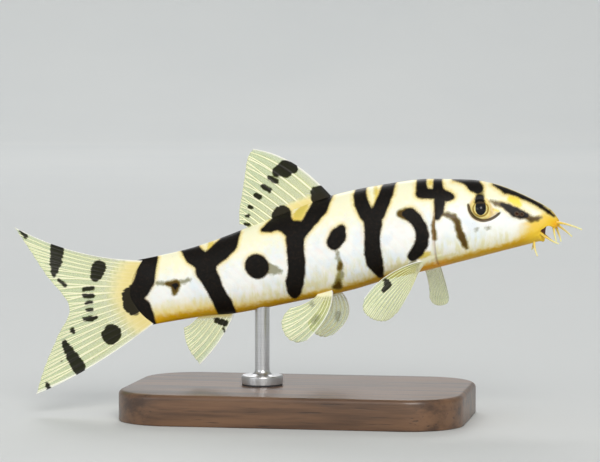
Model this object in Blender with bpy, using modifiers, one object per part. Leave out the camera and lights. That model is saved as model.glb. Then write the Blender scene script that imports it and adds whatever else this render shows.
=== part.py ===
"""Yoyo loach (Botia almorhae), a still life-size model on a plain display stand.

The head points along +X, the fish's right flank faces -Y, and +Z is up. The origin is the centre of
the underside of the stand's base. The fish is described in its own directions, in millimetres:
station, measured back from the tip of the snout; side, positive on its left; and height above the
line that runs straight back from the snout. place() turns these into the world's metres.
"""

import math

import bmesh
import bpy
from mathutils import Vector

# Driving dimensions, in millimetres
MM = 0.001
GAP = 0.3
PITCH = math.radians(10)
SNOUT_X = 42.4
SNOUT_Z = 31.7
BEND_START = 30.0
BEND_RADIUS = 286.0

# Outline of the body: (station, millimetres)
BACK_LINE = (
    (0, 1.6), (1.2, 2.75), (2.65, 4.0), (6.1, 6.4), (9, 8.05), (12, 9.2), (15.7, 10.0), (20.7, 10.85),
    (27, 11.05), (32.2, 10.95), (36, 10.65), (40, 10.0), (46.7, 8.6), (56, 6.7), (61.3, 6.0), (70, 5.6),
)
BELLY_LINE = (
    (0, -0.35), (1.2, -0.45), (1.9, -1.2), (2.6, -1.85), (3.7, -2.1), (10.3, -2.7), (16.9, -3.3),
    (23.3, -3.85), (29.7, -4.3), (35, -4.95), (42.8, -5.3), (54.4, -5.6), (58.9, -5.25), (64.6, -5.15),
    (70, -5.2),
)
HALF_WIDTH = (
    (0, 1.5), (1.2, 1.7), (2.5, 2.0), (6, 2.7), (9, 3.2), (12, 3.7), (16, 4.3), (20.7, 4.75), (27, 5.0),
    (33, 5.0), (40, 4.6), (46.7, 4.1), (54, 3.4), (61, 2.6), (66, 1.85), (69.5, 1.0), (73, 0.7),
)
WIDEST_LEVEL = ((0, 0.2), (3, 0.8), (10, 1.5), (27, 2.0), (45, 1.6), (60, 0.5), (70, 0.3))
BACK_POWER = 1.06
BELLY_POWER = 0.82

# Snout and mouth
NOSE_LENGTH = 1.3
NOSE_ROUND_IN_PLAN = 2.6
NOSE_HEIGHT = 0.15
MOUTH_STATION = 2.0
MOUTH_OPENING = 0.72
MOUTH_CRESCENT = 0.17
MOUTH_DEPTH = 1.5
MOUTH_SIDE = 2.2
UPPER_LIP = (0.8, 0.3, 0.1)
LOWER_LIP = (3.0, 0.42, 0.25)
MOUTH_END = 4.6
MOUTH_LEVEL = (0.1, 0.6)

# Divisions of the body
GILL_STATION = 19.7
GILL_EDGE_START = 12.0
GILL_EDGE_END = 27.0
GILL_TILT = 0.18
GILL_TILT_LEVEL = 2.0
GILL_BULGE = 0.6
GILL_BULGE_LEVEL = 3.5
GILL_BULGE_REACH = 7.5
GILL_FLARE = 0.06
FLARE_STATIONS = (13.0, 18.7)
STALK_STATION = 52.0
BODY_END = 69.5
END_BOW = 3.0
END_BOW_START = 61.0
RING_SIDES = 36
HEAD_STATIONS = (
    0.12, 0.35, 0.6, 0.85, 1.1, 1.26, 1.42, 1.62, 2.0, 2.38, 2.56, 2.72, 2.88, 3.06, 3.4, 4.0, 5.0, 6.4, 8.0,
    9.6, 11.2, 12.8, 14.4, 16.0, 17.5, 18.7,
)
TRUNK_STATIONS = (21.4, 23.2, 25.6, 28.5, 32.0, 35.5, 39.0, 42.5, 46.0, 49.0)
STALK_STATIONS = (54.5, 57.5, 60.5, 63.5, 66.0, 68.0, 69.0)

# Eyes and nostrils
EYE_STATION = 11.8
EYE_ANGLE = math.radians(65)
EYE_RADIUS = 1.65
EYE_DEPTH = 0.9
LID_RADIUS = 1.95
LID_THICKNESS = 0.3
NOSTRIL_STATION = 6.3
NOSTRIL_ANGLE = math.radians(70)
NOSTRIL_RADIUS = 0.42
NOSTRIL_RIM = 0.17

# Fins
FIN_THICKNESS = 1.0
ROOT_SHARE = 0.72
MEMBRANE_SHARE = 0.5
RAY_SHARE = 0.88
RAY_TIP_SHARE = 0.6
MARGIN_SHARE = 0.36
RAY_FOOT = 0.3
NOTCH_SHARE = 0.025
ROOT_SINK = 0.7
RAYS_AND_ROWS = {
    "dorsal_fin": (12, 8),
    "anal_fin": (8, 7),
    "tail_fin": (19, 8),
    "pectoral_fin": (13, 7),
    "pelvic_fin": (8, 7),
}

# Barbels
BARBEL_RADIUS = 0.27
BARBEL_TIP_SHARE = 0.45
BARBEL_SINK = 0.5
BARBEL_STEPS = 7

# Stand
BASE_SIZE = (56.0, 34.0, 5.0)
BASE_CORNER = 9.0
BASE_EDGE = 0.8
ROD_STATION = 50.0
ROD_RADIUS = 1.2
ROD_ABOVE_BELLY = 1.5
ROD_FILLET = 0.9
FOOT_RADIUS = 3.4
FOOT_HEIGHT = 1.4
FOOT_CHAMFER = 0.3


def smooth(table, x):
    """Value of a smooth curve through the table's points, held level past its ends."""
    if x <= table[0][0]:
        return table[0][1]
    if x >= table[-1][0]:
        return table[-1][1]
    last = len(table) - 1
    i = max(k for k in range(last) if table[k][0] <= x)

    def slope(k):
        low, high = max(k - 1, 0), min(k + 1, last)
        return (table[high][1] - table[low][1]) / (table[high][0] - table[low][0])

    (x0, y0), (x1, y1) = table[i], table[i + 1]
    span = x1 - x0
    t = (x - x0) / span
    rise = (3 - 2 * t) * t * t
    return (
        y0 + (y1 - y0) * rise
        + span * t * (1 - t) * ((1 - t) * slope(i) - t * slope(i + 1))
    )


def ease(x, start, end):
    """0 before start, 1 after end, and a smooth rise between them."""
    t = min(max((x - start) / (end - start), 0.0), 1.0)
    return t * t * (3 - 2 * t)


def hump(x, centre, width):
    return math.exp(-(((x - centre) / width) ** 2))


def place(station, side, height):
    """World point, in metres, of a point given along the fish."""
    turn = max(station - BEND_START, 0.0) / BEND_RADIUS
    along = min(station, BEND_START) + BEND_RADIUS * math.sin(turn) + side * math.sin(turn)
    across = -BEND_RADIUS * (1 - math.cos(turn)) + side * math.cos(turn)
    x = SNOUT_X - along * math.cos(PITCH) - height * math.sin(PITCH)
    z = SNOUT_Z - along * math.sin(PITCH) + height * math.cos(PITCH)
    return Vector((x, across, z)) * MM


def nose_share(station, length):
    if station >= length:
        return 1.0
    return math.sqrt(max(1 - (1 - station / length) ** 2, 0.0))


def mouth_relief(station, side):
    """How far the underside of the snout is raised: the slit of the mouth between two rolled lips."""
    along = station - MOUTH_CRESCENT * side * side
    relief = MOUTH_DEPTH * math.exp(-(((along - MOUTH_STATION) / MOUTH_OPENING) ** 4))
    for centre, width, roll in (UPPER_LIP, LOWER_LIP):
        relief -= roll * hump(along, centre, width)
    return relief * (1 - ease(abs(side), 0.6 * MOUTH_SIDE, MOUTH_SIDE))


def section(station, angle):
    """Side and height of the skin; the angle is 0 on the back, 90 degrees on the left, 180 below."""
    widest = smooth(WIDEST_LEVEL, station)
    upright, outward = math.cos(angle), math.sin(angle)
    if upright >= 0:
        height = widest + (smooth(BACK_LINE, station) - widest) * upright ** BACK_POWER
    else:
        height = widest - (widest - smooth(BELLY_LINE, station)) * (-upright) ** BELLY_POWER
    height = NOSE_HEIGHT + (height - NOSE_HEIGHT) * nose_share(station, NOSE_LENGTH)
    side = smooth(HALF_WIDTH, station) * outward * nose_share(station, NOSE_ROUND_IN_PLAN)
    if upright < 0 and station < MOUTH_END:
        height += mouth_relief(station, side) * ease(-upright, *MOUTH_LEVEL)
    return side, height


def ring_shift(station, side, height):
    """How far a ring bends along the body: crescent at the mouth, gill edge, rounded end."""
    crescent = MOUTH_CRESCENT * side * side * (1 - ease(station, 2.5, 7))
    gill = ease(station, GILL_EDGE_START, GILL_STATION) * (1 - ease(station, GILL_STATION, GILL_EDGE_END))
    gill_edge = GILL_BULGE * (1 - ((height - GILL_BULGE_LEVEL) / GILL_BULGE_REACH) ** 2)
    gill_edge -= GILL_TILT * (height - GILL_TILT_LEVEL)
    share_of_end = height / smooth(BACK_LINE, BODY_END)
    end = END_BOW * (1 - share_of_end ** 2) * ease(station, END_BOW_START, BODY_END)
    return crescent + gill * gill_edge + end


def skin_point(station, angle, flare=0.0):
    """Point of the skin along the fish: (station, side, height)."""
    side, height = section(station, angle)
    bent = station + ring_shift(station, side, height)
    side, height = section(min(bent, BODY_END), angle)
    return bent, side * (1 + flare), height


def ring(station, flare=0.0):
    angles = [2 * math.pi * i / RING_SIDES for i in range(RING_SIDES)]
    return [place(*skin_point(station, angle, flare)) for angle in angles]


def centre_of_section(station):
    height = smooth(WIDEST_LEVEL, station)
    return place(station + ring_shift(station, 0, height), 0, height)


def on_skin(station, angle, depth=0.0):
    """A point below the skin, and the outward direction there, both along the fish."""

    def point(along, around):
        return Vector((station + along, *section(station + along, angle + around)))

    outward = (point(0.2, 0) - point(-0.2, 0)).cross(point(0, 0.02) - point(0, -0.02)).normalized()
    return point(0, 0) - outward * depth, outward


def collection(name):
    made = bpy.data.collections.new(name)
    bpy.context.scene.collection.children.link(made)
    return made


def material(name, colour, roughness, metallic=0.0):
    made = bpy.data.materials.new(name)
    made.use_nodes = True
    shader = made.node_tree.nodes["Principled BSDF"]
    shader.inputs["Base Color"].default_value = (*colour, 1)
    shader.inputs["Roughness"].default_value = roughness
    shader.inputs["Metallic"].default_value = metallic
    return made


def new_object(name, mesh, home, finish=None):
    """Object from a bmesh, with its normals outward and smooth shading."""
    bmesh.ops.recalc_face_normals(mesh, faces=mesh.faces)
    data = bpy.data.meshes.new(name)
    mesh.to_mesh(data)
    mesh.free()
    data.shade_smooth()
    data.set_sharp_from_angle(angle=math.radians(40))
    made = bpy.data.objects.new(name, data)
    home.objects.link(made)
    if finish is None:
        made.hide_render = True
        made.display_type = "WIRE"
    else:
        data.materials.append(finish)
    return made


def loft(name, rings, tips, home, finish=None):
    """Closed skin over rings of equal count, with a fan at each end."""
    mesh = bmesh.new()
    loops = [[mesh.verts.new(point) for point in points] for points in rings]
    for near, far in zip(loops, loops[1:]):
        for i in range(RING_SIDES):
            j = (i + 1) % RING_SIDES
            mesh.faces.new((near[i], near[j], far[j], far[i]))
    for loop, tip in zip((loops[0], loops[-1]), tips):
        centre = mesh.verts.new(tip)
        for i in range(RING_SIDES):
            mesh.faces.new((loop[i], loop[(i + 1) % RING_SIDES], centre))
    return new_object(name, mesh, home, finish)


def evaluated_mesh(obj):
    bpy.context.view_layer.update()
    graph = bpy.context.evaluated_depsgraph_get()
    return bpy.data.meshes.new_from_object(obj.evaluated_get(graph))


def keep_largest_surface(mesh):
    """Removes every closed surface of the bmesh but the one with the most volume in its box."""
    left = set(mesh.verts)
    islands = []
    while left:
        found = {left.pop()}
        edge_of_search = list(found)
        while edge_of_search:
            vert = edge_of_search.pop()
            for edge in vert.link_edges:
                other = edge.other_vert(vert)
                if other not in found:
                    found.add(other)
                    edge_of_search.append(other)
        left -= found
        islands.append(found)

    def box_size(verts):
        spans = [[vert.co[axis] for vert in verts] for axis in range(3)]
        return math.prod(max(span) - min(span) for span in spans)

    islands.sort(key=box_size)
    for island in islands[:-1]:
        bmesh.ops.delete(mesh, geom=list(island), context="VERTS")


def apply_booleans(obj, steps):
    """Applies (operation, objects) steps to the object in turn and removes the objects used."""
    for operation, others in steps:
        used = collection("used_by_" + obj.name)
        for other in others:
            used.objects.link(other)
        modifier = obj.modifiers.new(operation.lower(), "BOOLEAN")
        modifier.operation = operation
        modifier.operand_type = "COLLECTION"
        modifier.collection = used
        modifier.solver = "EXACT"
        result = evaluated_mesh(obj)
        obj.modifiers.clear()
        cleaned = bmesh.new()
        cleaned.from_mesh(result)
        keep_largest_surface(cleaned)
        cleaned.to_mesh(obj.data)
        cleaned.free()
        bpy.data.meshes.remove(result)
        for other in others:
            used.objects.unlink(other)
        bpy.data.collections.remove(used)


def remove_objects(objects):
    for obj in objects:
        bpy.data.objects.remove(obj)


def sphere(name, radius, centre, home, finish=None, segments=16, rings=10):
    """Ball with its poles along the world's Y, so that it turns its pole to the side of the head."""
    mesh = bmesh.new()
    bmesh.ops.create_uvsphere(mesh, u_segments=segments, v_segments=rings, radius=radius * MM)
    turn = Vector((0, 0, 1)).rotation_difference(Vector((0, 1, 0))).to_matrix()
    bmesh.ops.rotate(mesh, verts=mesh.verts, matrix=turn, cent=(0, 0, 0))
    bmesh.ops.translate(mesh, verts=mesh.verts, vec=centre)
    return new_object(name, mesh, home, finish)


def skin_rim(name, station, angle, radius, thickness, home, segments):
    """Closed ring lying in the skin round a point of it."""
    sides = 8
    mesh = bmesh.new()
    centre, outward = on_skin(station, angle, depth=0.35 * thickness)
    first = outward.orthogonal().normalized()
    second = outward.cross(first)
    loops = []
    for i in range(segments):
        turn = 2 * math.pi * i / segments
        spoke = first * math.cos(turn) + second * math.sin(turn)
        loop = []
        for k in range(sides):
            roll = 2 * math.pi * k / sides
            arm = spoke * (radius + thickness * math.cos(roll)) + outward * thickness * math.sin(roll)
            loop.append(mesh.verts.new(place(*(centre + arm))))
        loops.append(loop)
    for i in range(segments):
        near, far = loops[i], loops[(i + 1) % segments]
        for k in range(sides):
            j = (k + 1) % sides
            mesh.faces.new((near[k], near[j], far[j], far[k]))
    return new_object(name, mesh, home)


def eye_centre(hand):
    centre, _ = on_skin(EYE_STATION, hand * EYE_ANGLE, depth=EYE_DEPTH)
    return place(*centre)


def build_head(home, cutters, finish):
    rings = [ring(s, GILL_FLARE * ease(s, *FLARE_STATIONS)) for s in HEAD_STATIONS]
    last = GILL_STATION - GAP / 2
    rings.append(ring(last, GILL_FLARE))
    head = loft("head", rings, (place(0, 0, NOSE_HEIGHT), centre_of_section(last)), home, finish)
    rims, holes = [], []
    for hand in (1, -1):
        rims.append(skin_rim("lid", EYE_STATION, hand * EYE_ANGLE, LID_RADIUS, LID_THICKNESS, cutters, 20))
        rims.append(
            skin_rim("rim", NOSTRIL_STATION, hand * NOSTRIL_ANGLE, NOSTRIL_RADIUS, NOSTRIL_RIM, cutters, 10)
        )
        holes.append(sphere("socket", EYE_RADIUS + GAP, eye_centre(hand), cutters))
        nostril, _ = on_skin(NOSTRIL_STATION, hand * NOSTRIL_ANGLE)
        radius = NOSTRIL_RADIUS - 0.05
        holes.append(sphere("hole", radius, place(*nostril), cutters, segments=10, rings=6))
    apply_booleans(head, (("UNION", rims), ("DIFFERENCE", holes)))
    remove_objects(rims + holes)


def build_trunk(home, finish):
    first, last = GILL_STATION + GAP / 2, STALK_STATION - GAP / 2
    rings = [ring(s) for s in (first, *TRUNK_STATIONS, last)]
    loft("trunk", rings, (centre_of_section(first), centre_of_section(last)), home, finish)


def build_tail_stalk(home, finish):
    first = STALK_STATION + GAP / 2
    rings = [ring(s) for s in (first, *STALK_STATIONS, BODY_END)]
    loft("tail_stalk", rings, (centre_of_section(first), centre_of_section(BODY_END)), home, finish)


def build_clearance(cutters):
    """The whole body, swollen by the gap that touching nodes keep."""
    stations = (*HEAD_STATIONS, GILL_STATION, *TRUNK_STATIONS, STALK_STATION, *STALK_STATIONS, BODY_END)
    tips = (place(0, 0, NOSE_HEIGHT), centre_of_section(BODY_END))
    body = loft("clearance", [ring(s) for s in stations], tips, cutters)
    swollen = bmesh.new()
    swollen.from_mesh(body.data)
    swollen.normal_update()
    moves = [vert.normal * GAP * MM * min(vert.calc_shell_factor(), 1.5) for vert in swollen.verts]
    for vert, move in zip(swollen.verts, moves):
        vert.co += move
    swollen.to_mesh(body.data)
    swollen.free()
    return body


def along_ray(ray, share):
    """Point at a share of the way along a ray given by its root, middle and tip."""
    root, middle, tip = ray
    control = middle * 2 - (root + tip) / 2
    return root * (1 - share) ** 2 + control * 2 * share * (1 - share) + tip * share ** 2


def between_rays(guides, share):
    """Ray at a share of the way across the fin, from a few guide rays."""
    reach = share * (len(guides) - 1)
    columns = range(len(guides))
    return [
        Vector([smooth([(i, guides[i][part][axis]) for i in columns], reach) for axis in range(3)])
        for part in range(3)
    ]


def wall_share(on_ray, out):
    """Share of the fin's full thickness on a ray or on the membrane, from root (0) to margin (1)."""
    if out > 0.99:
        return MARGIN_SHARE
    raised = RAY_SHARE + (RAY_TIP_SHARE - RAY_SHARE) * out if on_ray else MEMBRANE_SHARE
    return ROOT_SHARE + (raised - ROOT_SHARE) * ease(out, 0.05, 0.4)


def build_fin(name, guides, rays_and_rows, clearance, home, finish):
    """Fin over guide rays, each (root, middle, tip) along the fish: a membrane with a ridge for each ray."""
    rays, rows = rays_and_rows
    lines_per_ray = (0, RAY_FOOT, 1 - RAY_FOOT)
    columns = 3 * (rays - 1)
    mesh = bmesh.new()
    bmesh.ops.create_grid(mesh, x_segments=columns, y_segments=rows, size=1)
    weights = {}
    for vert in mesh.verts:
        ray, line = divmod(round((vert.co.x + 1) / 2 * columns), 3)
        across = (ray + lines_per_ray[line]) / (rays - 1)
        out = (vert.co.y + 1) / 2
        on_ray = line == 0
        weights[vert.index] = wall_share(on_ray, out)
        reach = out if on_ray else out * (1 - NOTCH_SHARE)
        vert.co = place(*along_ray(between_rays(guides, across), reach))
    bmesh.ops.triangulate(mesh, faces=mesh.faces)
    fin = new_object(name, mesh, home, finish)
    group = fin.vertex_groups.new(name="thickness")
    for index, weight in weights.items():
        group.add([index], weight, "REPLACE")
    wall = fin.modifiers.new("wall", "SOLIDIFY")
    wall.thickness = FIN_THICKNESS * MM
    wall.offset = 0
    wall.vertex_group = group.name
    solid = evaluated_mesh(fin)
    fin.modifiers.clear()
    fin.vertex_groups.clear()
    sheet = fin.data
    fin.data = solid
    bpy.data.meshes.remove(sheet)
    solid.name = name
    apply_booleans(fin, (("DIFFERENCE", [clearance]),))


def median_guides(roots, rays):
    """Guide rays of a fin on the back or belly line, from (station, middle, tip) of each."""
    line, inward = roots
    guides = []
    for station, middle, tip in rays:
        root = Vector((station, 0, smooth(line, station) + inward))
        guides.append((root, Vector((middle[0], 0, middle[1])), Vector((tip[0], tip[2], tip[1]))))
    return guides


def paired_guides(hand, rays):
    """Guide rays of a paired fin, from (station, angle below the back, middle, tip) of each."""
    guides = []
    for station, angle, middle, tip in rays:
        root, _ = on_skin(station, hand * math.radians(angle), depth=ROOT_SINK)
        guides.append((root, Vector(middle), Vector(tip)))
    return guides


# Guide rays of the middle fins: root station, middle (station, height), tip (station, height, side)
DORSAL_RAYS = (
    (35.5, (40.8, 16.7), (47.1, 20.3, -0.2)),
    (38.9, (44.1, 15.3), (48.2, 19.0, -0.3)),
    (42.2, (46.2, 13.2), (49.2, 16.0, -0.4)),
    (45.0, (48.0, 11.2), (50.2, 13.1, -0.4)),
    (47.5, (49.5, 9.8), (51.0, 10.9, -0.3)),
    (49.6, (50.6, 8.3), (51.4, 8.6, 0.0)),
)
ANAL_RAYS = (
    (54.4, (57.6, -9.3), (61.8, -12.9, -0.3)),
    (56.4, (59.6, -8.2), (62.9, -10.6, -0.4)),
    (58.3, (61.0, -7.1), (63.4, -8.4, -0.4)),
    (59.9, (61.8, -5.95), (63.3, -6.5, -0.2)),
)
TAIL_RAYS = (
    ((68.6, 5.0), (78.5, 8.7), (87.8, 14.4, -0.5)),
    ((69.6, 3.6), (77.8, 6.4), (86.0, 10.4, -0.7)),
    ((70.4, 2.1), (77.2, 3.9), (84.0, 5.8, -0.8)),
    ((71.0, 0.2), (76.2, 0.1), (81.2, 0.0, -0.6)),
    ((70.4, -1.7), (77.4, -3.2), (84.0, -4.5, -0.8)),
    ((69.6, -3.3), (78.6, -6.3), (86.9, -9.0, -0.7)),
    ((68.6, -4.7), (79.3, -10.2), (89.0, -13.1, -0.5)),
)

# Guide rays of the paired fins: root station and angle, middle and tip (station, side, height)
PECTORAL_RIGHT_RAYS = (
    (21.0, 137, (27.8, -6.2, -3.15), (32.8, -7.6, -7.0)),
    (21.8, 144, (27.4, -6.2, -4.5), (32.4, -8.0, -8.5)),
    (22.3, 148, (26.7, -5.8, -5.4), (31.2, -7.6, -9.8)),
    (22.8, 152, (25.9, -5.0, -6.1), (29.6, -6.6, -10.4)),
    (23.2, 156, (25.1, -4.1, -6.3), (28.0, -5.3, -9.9)),
)
PECTORAL_LEFT_RAYS = (
    (20.7, 141, (20.8, 6.9, -6.4), (20.9, 9.3, -9.6)),
    (21.3, 144, (21.5, 6.6, -6.9), (21.4, 9.0, -10.2)),
    (22.0, 148, (22.0, 6.0, -7.0), (22.4, 8.3, -10.3)),
    (22.6, 152, (22.6, 5.2, -6.7), (23.2, 7.2, -9.9)),
    (23.1, 156, (23.1, 4.3, -6.1), (23.7, 6.0, -9.0)),
)
PELVIC_RIGHT_RAYS = (
    (37.9, 153, (39.3, -3.4, -8.1), (43.9, -4.6, -12.1)),
    (38.5, 155, (41.2, -3.8, -8.1), (46.0, -5.2, -10.8)),
    (39.1, 158, (42.2, -3.6, -6.9), (46.8, -4.9, -8.3)),
    (39.8, 161, (42.1, -2.9, -5.6), (45.6, -3.8, -6.0)),
)
PELVIC_LEFT_RAYS = (
    (37.9, 153, (36.7, 4.0, -8.7), (40.9, 5.2, -12.4)),
    (38.5, 155, (38.5, 3.9, -8.8), (42.4, 5.0, -11.8)),
    (39.1, 158, (40.0, 3.4, -8.1), (43.5, 4.4, -10.6)),
    (39.8, 161, (41.0, 2.7, -7.1), (43.8, 3.5, -9.0)),
)


def build_fins(clearance, home, finish):
    back, belly = (BACK_LINE, -ROOT_SINK), (BELLY_LINE, ROOT_SINK)
    tail = [
        (Vector((r[0], 0, r[1])), Vector((m[0], 0, m[1])), Vector((t[0], t[2], t[1])))
        for r, m, t in TAIL_RAYS
    ]
    for name, guides in (
        ("dorsal_fin", median_guides(back, DORSAL_RAYS)),
        ("anal_fin", median_guides(belly, ANAL_RAYS)),
        ("tail_fin", tail),
        ("pectoral_fin_right", paired_guides(-1, PECTORAL_RIGHT_RAYS)),
        ("pectoral_fin_left", paired_guides(1, PECTORAL_LEFT_RAYS)),
        ("pelvic_fin_right", paired_guides(-1, PELVIC_RIGHT_RAYS)),
        ("pelvic_fin_left", paired_guides(1, PELVIC_LEFT_RAYS)),
    ):
        kind = name.removesuffix("_right").removesuffix("_left")
        build_fin(name, guides, RAYS_AND_ROWS[kind], clearance, home, finish)


# Barbels: side of the head, root station and angle, then middle and tip (station, side, height)
BARBELS = (
    ("rostral_outer_right", -1, (0.45, 72), (-1.55, -1.6, -0.25), (-3.5, -2.0, -1.35)),
    ("rostral_outer_left", 1, (0.45, 98), (-0.45, 1.6, -1.15), (-1.4, 1.9, -2.35)),
    ("rostral_inner_right", -1, (0.95, 145), (1.08, -0.85, -1.35), (0.95, -0.9, -2.6)),
    ("rostral_inner_left", 1, (0.65, 145), (0.55, 0.9, -1.6), (0.42, 0.9, -2.8)),
    ("maxillary_right", -1, (3.1, 130), (1.65, -2.3, -2.15), (0.45, -2.5, -2.9)),
    ("maxillary_left", 1, (3.1, 130), (2.1, 1.9, -2.26), (1.1, 1.6, -2.98)),
    ("mandibular_right", -1, (4.4, 160), (4.55, -1.0, -3.1), (4.3, -1.15, -4.4)),
    ("mandibular_left", 1, (4.4, 160), (5.0, 1.1, -2.85), (5.3, 1.3, -3.3)),
)


def build_barbels(clearance, home, finish):
    for name, hand, (station, angle), middle, tip in BARBELS:
        root, _ = on_skin(station, hand * math.radians(angle), depth=BARBEL_SINK)
        ray = (root, Vector(middle), Vector(tip))
        curve = bpy.data.curves.new(name, "CURVE")
        curve.dimensions = "3D"
        curve.bevel_depth = BARBEL_RADIUS * MM
        curve.bevel_resolution = 2
        curve.use_fill_caps = True
        spline = curve.splines.new("POLY")
        spline.points.add(BARBEL_STEPS)
        for i, point in enumerate(spline.points):
            share = i / BARBEL_STEPS
            point.co = (*place(*along_ray(ray, share)), 1)
            point.radius = 1 - (1 - BARBEL_TIP_SHARE) * share
        guide = bpy.data.objects.new(name, curve)
        home.objects.link(guide)
        tube = bmesh.new()
        tube.from_mesh(evaluated_mesh(guide))
        bpy.data.objects.remove(guide)
        bmesh.ops.remove_doubles(tube, verts=tube.verts, dist=0.00001)
        barbel = new_object("barbel_" + name, tube, home, finish)
        apply_booleans(barbel, (("DIFFERENCE", [clearance]),))


def build_stand(clearance, home, base_finish, rod_finish):
    length, width, height = (size * MM for size in BASE_SIZE)
    block = bmesh.new()
    bmesh.ops.create_cube(block, size=1)
    bmesh.ops.scale(block, vec=(length, width, height), verts=block.verts)
    bmesh.ops.translate(block, vec=(0, 0, height / 2), verts=block.verts)
    upright = [e for e in block.edges if abs(e.verts[0].co.z - e.verts[1].co.z) > height / 2]
    bmesh.ops.bevel(
        block, geom=upright, offset=BASE_CORNER * MM, segments=8, profile=0.5, affect="EDGES", material=-1
    )
    rim = [e for e in block.edges if all(v.co.z > height * 0.99 for v in e.verts)]
    bmesh.ops.bevel(
        block, geom=rim, offset=BASE_EDGE * MM, segments=3, profile=0.5, affect="EDGES", material=-1
    )
    new_object("stand_base", block, home, base_finish)

    spot = place(ROD_STATION, 0, smooth(BELLY_LINE, ROD_STATION))
    low = height + GAP * MM
    top = (spot.z - low) / MM + ROD_ABOVE_BELLY
    profile = [(0, top), (ROD_RADIUS, top)]
    for i in range(5):
        turn = math.pi / 2 * i / 4
        reach = ROD_RADIUS + ROD_FILLET * (1 - math.cos(turn))
        profile.append((reach, FOOT_HEIGHT + ROD_FILLET * (1 - math.sin(turn))))
    profile += [
        (FOOT_RADIUS - FOOT_CHAMFER, FOOT_HEIGHT),
        (FOOT_RADIUS, FOOT_HEIGHT - FOOT_CHAMFER),
        (FOOT_RADIUS, 0),
        (0, 0),
    ]
    outline = bmesh.new()
    points = [outline.verts.new((reach * MM, 0, low + rise * MM)) for reach, rise in profile]
    for near, far in zip(points, points[1:]):
        outline.edges.new((near, far))
    data = bpy.data.meshes.new("stand_rod")
    outline.to_mesh(data)
    outline.free()
    turned = bpy.data.objects.new("stand_rod_profile", data)
    home.objects.link(turned)
    screw = turned.modifiers.new("turn", "SCREW")
    screw.steps = screw.render_steps = 24
    screw.use_merge_vertices = True
    screw.merge_threshold = 0.00001
    solid = bmesh.new()
    solid.from_mesh(evaluated_mesh(turned))
    bpy.data.objects.remove(turned)
    bmesh.ops.remove_doubles(solid, verts=solid.verts, dist=0.00001)
    bmesh.ops.translate(solid, vec=(spot.x, spot.y, 0), verts=solid.verts)
    rod = new_object("stand_rod", solid, home, rod_finish)
    apply_booleans(rod, (("DIFFERENCE", [clearance]),))


def main():
    for obj in list(bpy.data.objects):
        bpy.data.objects.remove(obj)
    fish = collection("yoyo_loach")
    cutters = collection("cutters")
    skin = material("skin", (0.80, 0.74, 0.55), 0.35)
    fin = material("fin", (0.82, 0.84, 0.68), 0.4)
    feeler = material("feeler", (0.85, 0.68, 0.38), 0.45)
    eye = material("eye", (0.06, 0.045, 0.03), 0.12)
    wood = material("wood", (0.13, 0.075, 0.045), 0.45)
    steel = material("steel", (0.62, 0.62, 0.63), 0.3, 1.0)

    clearance = build_clearance(cutters)
    build_head(fish, cutters, skin)
    build_trunk(fish, skin)
    build_tail_stalk(fish, skin)
    for hand, name in ((1, "eye_left"), (-1, "eye_right")):
        sphere(name, EYE_RADIUS, eye_centre(hand), fish, eye)
    build_fins(clearance, fish, fin)
    build_barbels(clearance, fish, feeler)
    build_stand(clearance, fish, wood, steel)


main()
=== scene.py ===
import math

import bmesh
import bpy
import numpy as np
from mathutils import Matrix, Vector


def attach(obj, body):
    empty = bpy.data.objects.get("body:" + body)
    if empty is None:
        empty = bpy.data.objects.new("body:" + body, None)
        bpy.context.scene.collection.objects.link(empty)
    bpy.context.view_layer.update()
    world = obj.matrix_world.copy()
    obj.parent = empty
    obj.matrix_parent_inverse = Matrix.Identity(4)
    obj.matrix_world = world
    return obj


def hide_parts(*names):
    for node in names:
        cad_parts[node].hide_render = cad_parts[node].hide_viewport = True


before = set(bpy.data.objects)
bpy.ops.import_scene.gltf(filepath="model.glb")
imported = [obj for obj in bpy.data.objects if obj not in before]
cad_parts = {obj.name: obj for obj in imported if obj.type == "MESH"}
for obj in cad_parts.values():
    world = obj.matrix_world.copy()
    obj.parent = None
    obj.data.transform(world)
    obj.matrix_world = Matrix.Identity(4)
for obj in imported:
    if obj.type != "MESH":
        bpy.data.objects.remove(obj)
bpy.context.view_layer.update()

# The looks of a yoyo loach, a still life-size model on a plain display stand.
# Sizes are millimetres until place() turns them into the frame's metres. The fish has its own directions:
# station, back from the tip of the snout; side, positive on its left; height over the line that runs
# straight back from the snout.

MM = 0.001
PITCH = math.radians(10)
SNOUT_X = 42.4
SNOUT_Z = 31.7
BEND_START = 30.0
BEND_RADIUS = 286.0

# Outline of the body: (station, millimetres)
BACK_LINE = (
    (0, 1.6), (1.2, 2.75), (2.65, 4.0), (6.1, 6.4), (9, 8.05), (12, 9.2), (15.7, 10.0), (20.7, 10.85),
    (27, 11.05), (32.2, 10.95), (36, 10.65), (40, 10.0), (46.7, 8.6), (56, 6.7), (61.3, 6.0), (70, 5.6),
)
BELLY_LINE = (
    (0, -0.35), (1.2, -0.45), (1.9, -1.2), (2.6, -1.85), (3.7, -2.1), (10.3, -2.7), (16.9, -3.3),
    (23.3, -3.85), (29.7, -4.3), (35, -4.95), (42.8, -5.3), (54.4, -5.6), (58.9, -5.25), (64.6, -5.15),
    (70, -5.2),
)
HALF_WIDTH = (
    (0, 1.5), (1.2, 1.7), (2.5, 2.0), (6, 2.7), (9, 3.2), (12, 3.7), (16, 4.3), (20.7, 4.75), (27, 5.0),
    (33, 5.0), (40, 4.6), (46.7, 4.1), (54, 3.4), (61, 2.6), (66, 1.85), (69.5, 1.0), (73, 0.7),
)
WIDEST_LEVEL = ((0, 0.2), (3, 0.8), (10, 1.5), (27, 2.0), (45, 1.6), (60, 0.5), (70, 0.3))
BACK_POWER = 1.06
BELLY_POWER = 0.82

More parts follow.
